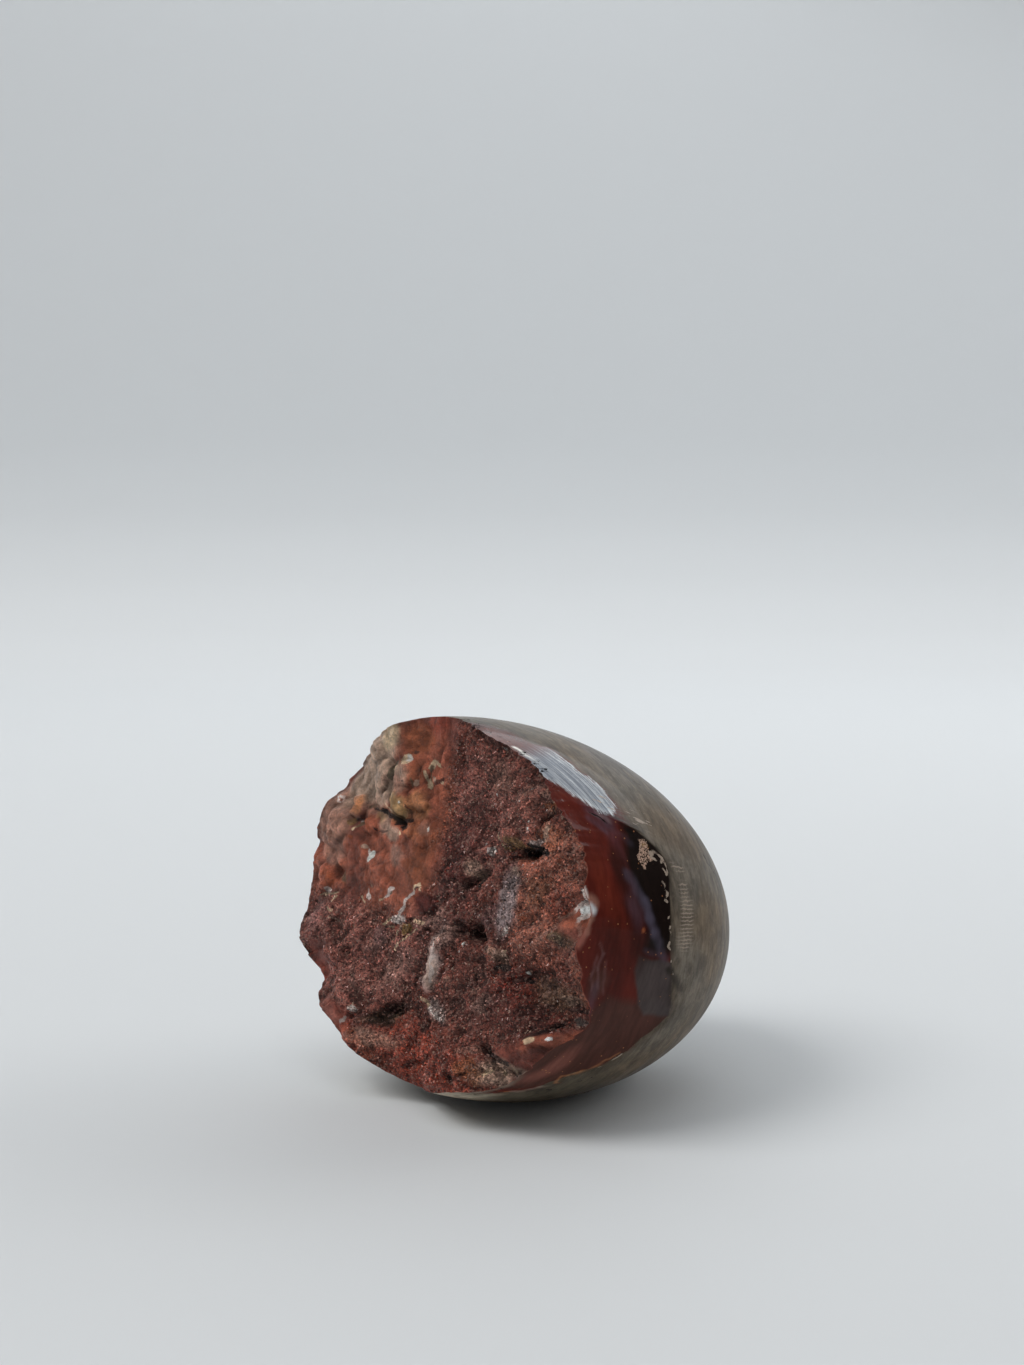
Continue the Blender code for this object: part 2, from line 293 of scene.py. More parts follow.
# %% Lumps, swells, pits and crests
# Lumps, swells and pits: right, up, half length, half width, turn in degrees, height.
LUMPS = (
    (-11.9, 10.1, 2.5, 2.1, 0.0, 1.4), (-8.6, 11.5, 2.0, 2.0, 0.0, 1.2), (-18.3, 8.2, 1.3, 1.1, 0.0, 0.7),
    (-16.0, 8.4, 1.7, 1.5, 0.0, 0.9), (-13.3, 13.6, 2.6, 2.1, 20.0, 1.0), (-18.7, 11.1, 2.8, 2.0, 60.0, 0.9),
    (-22.5, 5.2, 1.9, 1.7, 0.0, 1.1), (-18.1, 3.9, 1.7, 1.3, 10.0, 0.8), (-8.7, 7.0, 1.5, 1.3, 0.0, 0.9),
    (-22.6, 14.2, 2.4, 2.0, 40.0, 0.8), (-24.9, 1.3, 2.6, 3.0, 0.0, 0.8), (-24.2, -6.4, 1.9, 1.8, 0.0, 1.0),
    (-28.1, 4.5, 0.9, 0.9, 0.0, 0.5), (-9.9, 14.5, 1.1, 2.2, -15.0, 0.6), (-6.8, 18.3, 0.8, 1.8, -10.0, 0.5),
    (6.7, 9.8, 1.2, 1.0, 0.0, 0.6), (4.2, 6.3, 2.1, 1.7, 30.0, 0.8), (13.1, 20.5, 1.5, 1.4, 0.0, 0.8),
    (10.7, 13.6, 1.8, 1.2, 10.0, 0.8), (14.9, 15.2, 1.3, 2.2, -10.0, 0.8), (26.5, -7.3, 3.8, 1.3, 30.0, 1.0),
    (20.6, -16.4, 3.0, 1.5, 20.0, 0.8), (23.6, -14.7, 1.6, 1.2, 20.0, 0.7), (13.7, -1.4, 1.4, 1.6, 0.0, 0.7),
    (25.8, -4.8, 1.3, 1.0, 0.0, 0.6),
)
SWELLS = (
    (11.4, 16.8, 3.6, 4.2, -10.0, 1.5), (20.0, 11.5, 6.5, 7.5, 0.0, 0.7), (8.0, -20.4, 9.0, 3.2, 8.0, 0.7),
    (-8.0, 3.0, 7.0, 9.0, 20.0, 0.6), (10.4, -7.2, 5.2, 5.8, 0.0, -0.8), (24.6, -3.4, 4.2, 2.6, 25.0, -0.7),
    (24.0, -10.6, 4.0, 2.2, 30.0, 1.2), (-4.0, -13.0, 7.5, 3.2, 38.0, -0.8),
    (-11.0, -10.0, 6.0, 2.0, 38.0, 0.5),
    (1.0, 14.0, 5.0, 8.0, -20.0, -0.5), (21.0, 3.8, 6.5, 1.7, 38.0, 0.9), (6.5, 3.6, 2.6, 6.0, -18.0, -0.8),
    (-15.0, 2.0, 9.0, 1.8, -15.0, -0.5), (2.0, -13.5, 3.0, 6.5, -35.0, -0.6),
    (13.5, -15.0, 7.0, 1.8, 12.0, 0.6),
)
PITS = (
    (14.0, 12.5, 2.0, 0.9, 25.0, -3.2), (9.2, -0.7, 1.9, 1.3, 30.0, -3.6), (6.4, -1.3, 1.4, 0.9, 0.0, -1.3),
    (-21.8, -4.6, 1.1, 1.0, 0.0, -1.4), (-1.2, -16.7, 1.8, 1.0, 30.0, -2.0),
    (-1.9, -18.7, 2.2, 0.9, 10.0, -1.2),
    (-10.8, 7.4, 2.1, 0.7, -5.0, -1.7), (-17.3, 13.5, 1.1, 0.7, 40.0, -0.8),
    (14.6, -18.9, 0.8, 0.7, 0.0, -0.8),
    (7.6, -15.6, 1.2, 0.6, -30.0, -1.1), (1.5, 1.0, 1.5, 0.9, 40.0, -0.7),
)
# Crests and slits: from right, up, to right, up, half width, height.
CRESTS = (
    (6.5, 2.2, 4.2, -3.9, 1.2, 0.5), (4.2, -3.9, 2.6, -10.2, 1.1, 0.4), (2.6, -10.2, 3.8, -12.8, 1.1, 0.4),
    (3.8, -12.8, 8.0, -14.0, 1.0, 0.4), (-19.7, -8.3, -16.2, -14.8, 1.2, 0.7),
    (-16.2, -14.8, -8.0, -19.5, 1.2, 0.7), (-8.0, -19.5, -3.2, -21.6, 1.2, 0.5),
    (16.1, -4.6, 12.6, -9.4, 0.9, 0.6),
    (4.5, 4.1, 7.2, 6.9, 0.5, -1.0), (18.0, -13.3, 21.0, -14.8, 0.7, -1.7),
    (22.9, -9.8, 26.5, -5.9, 0.6, -0.6),
    (18.8, -2.8, 24.0, 0.7, 0.9, -0.6), (3.8, -22.7, 9.4, -18.4, 0.5, -0.6),
    (16.0, 19.5, 15.3, 16.1, 0.4, -0.8),
)
GRAIN_SIZE = 3.6
GRAIN_WAXY = 0.35
GRAIN_ROUGH = 0.42
WAXY_CENTRE = (-11.0, 6.0)
WAXY_REACH = (11.0, 14.0)
EDGE_FADE = 0.04
HOLLOW_REACH = 1.3
# Direction in which the low left part is combed, as shares right and up.
DRIFT_RIGHT = 0.61
DRIFT_UP = 0.79


def reach(right, up, feature):
    """Squared distance from a feature's middle, as a share of its own size."""
    middle_right, middle_up, half_length, half_width, degrees = feature[:5]
    turn = math.radians(degrees)
    across = right - middle_right
    along = up - middle_up
    length = across * math.cos(turn) + along * math.sin(turn)
    width = along * math.cos(turn) - across * math.sin(turn)
    return (length / half_length) ** 2 + (width / half_width) ** 2


def line_distance(right, up, line):
    """Distance from a straight line between two places."""
    run_right = line[2] - line[0]
    run_up = line[3] - line[1]
    share = ((right - line[0]) * run_right + (up - line[1]) * run_up) / (run_right ** 2 + run_up ** 2)
    share = np.clip(share, 0.0, 1.0)
    return np.hypot(right - line[0] - run_right * share, up - line[1] - run_up * share)


def big_relief(right, up):
    """The large forms, most of which the solid has as well: grain waves, swells, lumps, pits and crests."""
    rough = smoothstep(0.6, 1.3, ((right - WAXY_CENTRE[0]) / WAXY_REACH[0]) ** 2
                       + ((up - WAXY_CENTRE[1]) / WAXY_REACH[1]) ** 2)
    strength = GRAIN_WAXY + (GRAIN_ROUGH - GRAIN_WAXY) * rough
    height = strength * waves(GRAIN_SIZE, right, up, 0.0)
    height += strength * 0.5 * waves(GRAIN_SIZE * 0.5, right, up, 0.0)
    height += strength * 0.25 * waves(GRAIN_SIZE * 0.25, right, up, 0.0)
    bent_right = right + 0.55 * waves(2.4, right, up, 7.0) + 0.25 * waves(0.9, right, up, 8.0)
    bent_up = up + 0.55 * waves(2.4, right, up, 11.0) + 0.25 * waves(0.9, right, up, 12.0)
    for swell in SWELLS:
        height += swell[5] * np.exp(-reach(right, up, swell) ** 2)
    lump_height = np.zeros_like(right)
    for lump in LUMPS:
        dome = np.sqrt(np.clip(1.0 - reach(bent_right, bent_up, lump), 0.0, 1.0))
        lump_height = np.maximum(lump_height, lump[5] * dome)
    height += lump_height
    for pit in PITS:
        height += pit[5] * np.exp(-reach(bent_right, bent_up, pit) ** 1.5)
    for crest in CRESTS:
        height += crest[5] * np.exp(-(line_distance(bent_right, bent_up, crest) / crest[4]) ** 2)
    return height


probe = big_relief(np.array([13.0, -12.2]), np.array([12.3, 10.0]))
print("relief in the upper hole and on a lump:", probe.round(2), "mm")

# %% [markdown]
# ## Sugary and waxy ground
# The face isn't equally rough. A waxy tongue of cream and orange lumps fills the upper left; the rest is a
# crust of quartz sugar. One measure says how sugary each place is, and both the fine relief and the finish
# read it.

# %% How sugary each place is, and the fine relief
# Edge of the waxy tongue, from the top down its right side and back round the lower left.
WAXY_OUTLINE = (
    (-7.1, 24.5), (-6.0, 19.5), (-5.2, 16.0), (-4.0, 13.0), (-2.6, 9.0), (-1.4, 6.0), (-0.6, 2.6),
    (-1.6, -0.4),
    (-3.6, -2.6), (-8.0, -4.2), (-13.0, -5.4), (-18.5, -6.6), (-23.0, -8.6), (-30.0, -9.0), (-30.0, 24.5),
)
# Smooth spots in the sugar: right, up, half length, half width, turn in degrees.
SMOOTH_SPOTS = (
    (26.9, -7.7, 4.6, 1.7, 32.0), (-24.2, -6.1, 2.2, 2.0, 0.0), (-1.9, -1.5, 2.4, 1.5, 40.0),
    (3.7, -8.7, 1.0, 3.4, 8.0), (26.3, 8.3, 2.4, 2.6, 0.0), (25.0, -10.5, 5.0, 2.4, 30.0),
    (-18.4, -17.0, 3.4, 1.6, -55.0), (-9.8, -21.5, 4.0, 1.4, -25.0),
)


def inside(outline, across, along):
    """Distance inside a closed outline, positive within it and negative outside."""
    nearest = np.full(across.shape, 1e9)
    crossings = np.zeros(across.shape, bool)
    for (x0, y0), (x1, y1) in zip(outline, outline[1:] + outline[:1]):
        nearest = np.minimum(nearest, line_distance(across, along, (x0, y0, x1, y1)))
        if y0 != y1:
            meets = (y0 > along) != (y1 > along)
            crossings ^= meets & (across < x0 + (along - y0) / (y1 - y0) * (x1 - x0))
    return np.where(crossings, nearest, -nearest)


def sugary(right, up):
    """0 where the stone is waxy or smooth, 1 where it is sugary."""
    bent_right = right + 1.2 * waves(3.2, right, up, 21.0) + 0.5 * waves(1.1, right, up, 22.0)
    bent_up = up + 1.2 * waves(3.2, right, up, 23.0)
    share = 1.0 - smoothstep(-2.2, 1.6, inside(WAXY_OUTLINE, bent_right, bent_up))
    for spot in SMOOTH_SPOTS:
        share *= smoothstep(0.6, 1.2, reach(bent_right, bent_up, spot))
    return share


def fine_relief(right, up):
    """Chips, seams and grains too small for the solid."""
    sugar = sugary(right, up)
    drift = right * DRIFT_RIGHT + up * DRIFT_UP
    across_drift = up * DRIFT_RIGHT - right * DRIFT_UP
    run = drift * 0.72 + 0.30 * waves(0.9, right, up, 30.0)
    side = across_drift + 0.30 * waves(0.9, right, up, 32.0)
    chips = 0.30 * facets(2.7, run, side, 31.0) + 0.14 * facets(1.35, run, side, 33.0)
    chips += 0.08 * facets(0.75, run, side, 34.0) + 0.04 * waves(0.6, right, up, 36.0)
    seams = -0.30 * smoothstep(0.86, 1.0, 1.0 - np.abs(waves(2.6, right, up, 35.0)) * 2.2)
    seams *= smoothstep(0.0, 0.5, waves(4.5, right, up, 37.0) + 0.25)
    sugar_grain = 0.07 * grains(1.0, right, up, 41.0) + 0.07 * grains(0.55, right, up, 43.0)
    waxy_lumps = 0.36 * grains(2.1, right, up, 44.0) + 0.05 * grains(0.9, right, up, 45.0)
    low_left = smoothstep(6.0, -6.0, right) * smoothstep(2.0, -6.0, up)
    streaks = 0.30 * low_left * waves(1.0, drift * 0.28, across_drift, 47.0)
    furrows = sugar * (0.25 + 0.75 * low_left) * waves(2.6, drift * 0.35, across_drift, 49.0) * 0.42
    rough_part = sugar * (chips + seams + sugar_grain - 0.15)
    waxy_part = (1.0 - sugar) * (chips * 0.22 + seams * 0.4 + waxy_lumps - 0.2)
    return rough_part + waxy_part + streaks + furrows


def stands_out(right, up):
    """How far each place stands out of what is round it: -1 in deep hollows, 1 on tips."""
    round_about = np.zeros_like(right)
    for turn in np.radians((0.0, 90.0, 180.0, 270.0)):
        round_about += big_relief(right + HOLLOW_REACH * np.cos(turn), up + HOLLOW_REACH * np.sin(turn)) / 4.0
    return np.clip((big_relief(right, up) - round_about) / 0.6 + fine_relief(right, up) / 0.6, -1.0, 1.0)


probe = sugary(np.array([-12.0, 8.0]), np.array([8.0, 12.0]))
print("sugar share on the waxy tongue and in the middle:", probe.round(2))


# %% Heights of the raw face
def face_spot(right, up):
    """Turn round the face and share of the way to the rim, for places given right and up."""
    turn = np.arctan2(up / HALF_HEIGHT, right / HALF_WIDTH)
    rim = rim_height(turn)
    share = np.hypot(right / HALF_WIDTH, up / HALF_HEIGHT) / dome_radius(rim)
    return turn, rim, share


def face_height(right, up):
    """Height of the raw face along its axis."""
    turn, rim, share = face_spot(right, up)
    plain = FACE_HEIGHT + (rim - FACE_HEIGHT) * share ** 3
    fade = 1.0 - smoothstep(1.0 - EDGE_FADE, 1.0, share)
    fine_fade = 1.0 - smoothstep(1.0 - EDGE_FADE * 0.4, 1.0, share)
    return plain + big_relief(right, up) * fade + fine_relief(right, up) * fine_fade


print("face height at its middle:", face_height(np.array([0.0]), np.array([0.0])).round(2), "mm")

# %% [markdown]
# ## Palette
# Minerals mix a few pigments: iron oxide for the reds, clay and manganese for the plums, chalk-like quartz
# for the veins. The colours are named once and used everywhere. They are written as they look on screen,
# turned into the linear values that Blender's shaders work in, and all raised by one factor for this light.

# %% Named colours
PAINT_STRENGTH = 1.6


def seen(red, green, blue):
    """A colour as it looks on screen, 0 to 255, turned into the shader's linear values."""
    return tuple(PAINT_STRENGTH * ((value / 255.0 + 0.055) / 1.055) ** 2.4 for value in (red, green, blue))


PALETTE = {
    "sugar_red": seen(100, 52, 42), "plum": seen(146, 92, 82), "dark_plum": seen(90, 46, 40),
    "rose_brown": seen(130, 80, 70), "waxy_red": seen(141, 78, 58), "orange": seen(120, 66, 42),
    "tan_orange": seen(146, 96, 64), "beige": seen(156, 132, 115), "cream": seen(190, 166, 137),
    "pink": seen(142, 102, 88), "chalk": seen(194, 180, 174), "blue_grey": seen(136, 120, 120),
    "deep_red": seen(82, 30, 24), "brick": seen(142, 66, 50), "brown": seen(158, 96, 78),
    # Near-black for holes, cracks and the gap under the overhanging chunk: painted shade.
    "moss": seen(84, 72, 54), "gold": seen(128, 98, 58), "dark": seen(48, 26, 23), "hole_shade": seen(20, 12, 11),
    "crumb": seen(164, 136, 119), "gem_red": seen(74, 25, 18), "gem_bright": seen(92, 34, 22),
    "gem_dark": seen(44, 18, 15),
    "mauve": seen(63, 40, 34), "skin": seen(88, 81, 72), "skin_dark": seen(66, 58, 49),
    "skin_brown": seen(89, 76, 61), "olive": seen(66, 60, 49), "salmon": seen(80, 34, 24),
    "mist": seen(84, 80, 77), "black": seen(16, 11, 9), "violet": seen(74, 68, 81), "lip": seen(104, 90, 80),
    "band_blue": seen(88, 94, 105), "band_white": seen(184, 188, 191), "lace": seen(138, 124, 112),
    "pink_tan": seen(146, 106, 90), "tan_olive": seen(134, 106, 72), "orange_lit": seen(152, 90, 60),
    "flesh": seen(148, 106, 92), "flesh_red": seen(140, 86, 75), "orange_deep": seen(118, 58, 32),
    # A pale skin for the underside next to the rim: painted light thrown up from the floor.
    "deep_lit": seen(104, 38, 28), "white": seen(214, 212, 206), "bounce_lit_skin": seen(150, 140, 124),
    # The grey of the patch low on the right is a painted reflection of the floor; the band's dark threads use
    # it too.
    "reflection_and_thread_grey": seen(62, 55, 54), "lavender": seen(116, 88, 88), "soot": seen(36, 31, 27),
    "frost": seen(168, 130, 119),
}
print(len(PALETTE), "named colours")

# %% [markdown]
# ## Painting the raw face
# The ground is painted in soft washes, one over the other, each an ellipse with a bent edge. Marks, which
# are spots, veins and cracks, have crisp edges on a real break, so they are kept apart: the mesh stores
# their colour and how marked each place is, and the finish draws their ragged edge between its points.
# Some marks are painted light and shade: near-black in holes, cracks and under the overhanging chunk, and
# white glints.

# %% Washes, marks and veins of the raw face
# Patches: right, up, half length, half width, turn in degrees, colour, strength, softness.
FACE_PATCHES = (
    (3.0, 12.0, 8.0, 13.0, -20, "plum", 0.8, 0.5), (-10.0, -12.0, 15.0, 8.0, 35, "plum", 0.9, 0.4),
    (-20.0, -13.0, 5.0, 7.0, 30, "dark_plum", 0.4, 0.5), (2.0, 4.0, 5.0, 7.0, 20, "dark_plum", 0.8, 0.6),
    (19.5, 9.0, 6.5, 9.0, 10, "brown", 0.9, 0.4), (9.0, -20.0, 13.0, 5.0, 8, "brick", 0.95, 0.3),
    (12.0, -9.0, 9.0, 5.0, -20, "rose_brown", 0.45, 0.6), (22.0, -5.5, 6.0, 4.0, 25, "dark_plum", 0.6, 0.5),
    (20.0, 0.5, 5.0, 3.0, 30, "sugar_red", 0.8, 0.4), (-10.5, 7.0, 10.0, 15.0, 10, "waxy_red", 1.0, 0.25),
    (-24.0, -4.0, 6.0, 6.0, 0, "waxy_red", 0.9, 0.4), (2.5, 10.5, 4.0, 7.0, -20, "dark_plum", 0.75, 0.6),
    (-20.6, 12.0, 7.6, 3.6, 68, "beige", 0.95, 0.35), (-14.6, 11.6, 3.6, 2.7, 60, "beige", 0.85, 0.4),
    (-18.8, 17.0, 2.4, 1.8, 20, "cream", 0.9, 0.4), (-25.2, 1.4, 5.2, 4.0, 80, "pink_tan", 0.95, 0.35),
    (-18.6, 6.6, 3.0, 1.6, 40, "pink_tan", 0.7, 0.5), (-14.2, 5.6, 2.4, 1.2, -20, "crumb", 0.7, 0.5),
    (-15.1, -11.7, 6.0, 4.6, 0, "flesh_red", 0.8, 0.6), (-19.5, -9.4, 4.5, 2.6, 20, "flesh_red", 0.7, 0.6),
    (14.5, -8.0, 4.5, 3.5, 20, "dark_plum", 0.6, 0.6),
    (3.6, -6.6, 4.8, 1.5, 88, "chalk", 0.6, 0.6), (0.9, -2.2, 3.0, 1.2, 42, "frost", 0.6, 0.6),
    # The dark washes on the deep pits, here and a few rows down, are painted shade round them.
    (7.6, -12.8, 2.6, 0.9, -10, "chalk", 0.5, 0.6), (9.0, -0.2, 3.4, 2.4, 10, "dark", 0.6, 0.6),
    (20.2, 3.0, 5.0, 3.0, 10, "brown", 0.6, 0.6), (27.4, 3.0, 2.0, 4.0, 0, "flesh_red", 0.55, 0.6),
    (-4.5, 5.2, 4.6, 2.6, 85, "orange", 0.7, 0.5),
    (12.1, 19.5, 3.6, 1.7, 32, "flesh", 0.5, 0.5), (11.5, 16.0, 3.8, 3.2, 0, "flesh_red", 0.55, 0.6),
    (26.1, 8.5, 2.4, 1.3, 29, "waxy_red", 0.75, 0.5),
    (-17.8, -14.1, 8.3, 4.0, -29, "plum", 0.8, 0.5), (-11.1, -20.5, 4.1, 2.3, -13, "flesh_red", 0.85, 0.4),
    (-18.3, -19.4, 4.6, 1.8, -55, "brick", 0.7, 0.5), (-6.7, -22.0, 5.0, 1.6, -25, "brick", 0.7, 0.5),
    (-1.1, -16.5, 2.6, 1.6, 31, "dark", 0.75, 0.6), (-2.0, -18.6, 2.9, 0.9, 25, "moss", 0.7, 0.5),
    (6.4, -15.4, 2.4, 0.5, 34, "dark", 0.8, 0.4), (-2.1, -21.3, 4.8, 1.2, 22, "crumb", 0.5, 0.5),
    (24.2, -2.5, 5.5, 2.0, 21, "moss", 0.55, 0.45), (27.2, -1.7, 2.4, 0.8, 17, "crumb", 0.55, 0.5),
    (25.6, 5.5, 1.8, 0.9, 13, "moss", 0.6, 0.5), (19.1, -3.9, 3.4, 2.4, -6, "deep_lit", 0.8, 0.5),
    (14.7, -8.3, 2.0, 1.2, 42, "frost", 0.6, 0.5), (20.4, -15.2, 3.4, 1.7, 32, "crumb", 0.8, 0.35),
    (24.8, -13.1, 2.3, 0.8, 10, "crumb", 0.8, 0.4), (17.2, -16.7, 2.4, 1.4, -8, "tan_orange", 0.6, 0.5),
    (26.8, -7.6, 4.0, 1.1, 41, "waxy_red", 0.6, 0.4), (28.5, 1.4, 1.0, 4.0, 12, "waxy_red", 0.6, 0.5),
    (-3.7, -11.3, 1.2, 4.2, -35, "frost", 0.45, 0.6), (-7.8, -9.9, 3.4, 0.9, 35, "frost", 0.4, 0.6),
    (4.4, -3.4, 1.0, 2.6, -10, "frost", 0.6, 0.5), (3.7, -8.3, 1.1, 2.6, 5, "crumb", 0.55, 0.5),
    (-10.1, -16.2, 1.8, 0.7, -45, "frost", 0.45, 0.6), (-3.4, -22.7, 5.0, 0.9, -12, "waxy_red", 0.6, 0.5),
    (-22.7, 12.3, 5.0, 3.0, 79, "beige", 0.95, 0.3), (-25.2, 10.8, 4.3, 2.2, 72, "beige", 0.95, 0.35),
    (-27.2, 2.3, 5.3, 3.2, 83, "pink_tan", 0.95, 0.3), (-24.5, 4.6, 3.5, 2.2, 67, "pink_tan", 0.9, 0.4),
    (-13.7, 11.3, 2.2, 1.9, 78, "pink_tan", 0.9, 0.4), (-11.8, 8.9, 2.6, 2.2, 0, "tan_olive", 0.95, 0.35),
    (-8.1, 10.5, 2.3, 2.0, 0, "tan_orange", 0.9, 0.35),
    (-22.6, 5.3, 1.8, 1.4, -38, "tan_orange", 0.95, 0.35),
    (-17.8, 4.5, 1.1, 1.0, -28, "orange_deep", 0.8, 0.4),
    (-15.9, 6.0, 1.46, 0.90, -22, "tan_olive", 0.7, 0.4), (-12.1, 5.1, 1.6, 1.1, -12, "crumb", 0.8, 0.4),
    (-9.7, 3.1, 1.5, 1.4, -43, "pink_tan", 0.8, 0.4), (-7.5, 7.4, 1.6, 1.3, -20, "orange_lit", 0.85, 0.4),
    (-5.8, 8.3, 1.17, 0.90, -19, "pink_tan", 0.6, 0.5), (-23.7, -2.6, 2.2, 1.6, -8, "pink", 0.85, 0.4),
    (-18.1, 17.7, 1.6, 1.6, -13, "cream", 0.85, 0.4), (-13.5, 18.8, 3.0, 3.0, 73, "orange", 0.85, 0.5),
    (-11.4, 22.2, 2.4, 2.4, 19, "brick", 0.7, 0.5), (-10.6, 14.4, 1.8, 1.8, -39, "orange", 0.7, 0.5),
    (-23.1, -6.2, 1.7, 1.0, -8, "orange_deep", 0.8, 0.4), (-19.9, -4.8, 0.96, 0.70, -37, "moss", 0.8, 0.5),
    (-9.0, 3.0, 1.8, 1.3, -39, "pink", 0.75, 0.5), (-4.4, 2.4, 3.2, 1.6, -12, "orange", 0.6, 0.5),
    (-1.0, -1.1, 2.3, 1.4, 8, "deep_red", 0.95, 0.35), (-8.8, -5.8, 3.7, 1.5, 38, "flesh_red", 0.5, 0.6),
    (-7.8, -8.5, 1.4, 1.2, -20, "lavender", 0.6, 0.5), (-2.2, -11.3, 3.7, 1.2, 51, "frost", 0.4, 0.6),
    (4.4, -4.7, 3.0, 1.0, 54, "frost", 0.6, 0.5), (-17.9, -14.6, 3.5, 2.6, -5, "dark_plum", 0.6, 0.5),
    (-22.0, -11.9, 2.8, 1.6, -31, "lavender", 0.45, 0.6), (5.7, 7.0, 1.7, 1.5, 79, "crumb", 0.75, 0.5),
    (13.6, 5.6, 4.6, 2.0, -80, "blue_grey", 0.95, 0.45), (13.2, 9.4, 0.77, 0.70, -80, "crumb", 0.7, 0.4),
    (18.2, 9.0, 2.4, 1.8, 87, "tan_orange", 0.4, 0.6), (17.3, 5.3, 1.3, 1.3, 74, "orange_deep", 0.8, 0.5),
    (4.8, -3.6, 2.84, 0.80, 74, "frost", 0.65, 0.5), (14.7, -1.2, 1.72, 0.90, 0, "crumb", 0.6, 0.5),
    (22.5, 4.4, 2.98, 0.60, 50, "flesh", 0.7, 0.5), (24.8, 5.4, 0.91, 0.70, 21, "moss", 0.75, 0.4),
    (11.5, 2.2, 1.9, 1.5, -86, "lavender", 0.45, 0.6), (2.0, 4.8, 1.8, 1.8, -83, "deep_red", 0.5, 0.6),
    (22.6, 9.5, 2.4, 2.4, 77, "brick", 0.6, 0.6), (12.3, 18.0, 2.0, 2.0, 39, "flesh_red", 0.7, 0.5),
    (13.4, 20.5, 1.3, 0.9, 6, "flesh_red", 0.8, 0.4), (15.3, 16.7, 1.8, 0.8, 88, "flesh_red", 0.8, 0.4),
    (11.9, 13.0, 1.90, 0.90, 27, "tan_olive", 0.85, 0.4), (18.2, 14.0, 3.3, 3.0, 76, "brown", 0.9, 0.4),
    (17.2, 15.8, 1.9, 1.6, 84, "tan_orange", 0.35, 0.6), (5.3, 19.8, 2.6, 2.0, -11, "crumb", 0.25, 0.6),
    (-25.0, 7.2, 3.6, 2.2, 60, "beige", 0.85, 0.5), (-21.2, 8.8, 3.4, 2.2, 60, "beige", 0.85, 0.5),
    (-16.8, 9.0, 2.8, 2.0, 20, "beige", 0.8, 0.5), (-22.6, 5.3, 1.7, 1.3, -38, "tan_orange", 0.9, 0.35),
    (-15.1, -11.7, 5.4, 4.0, 0, "flesh_red", 0.55, 0.7), (-8.5, -13.3, 4.0, 3.0, 30, "flesh_red", 0.3, 0.7),
)
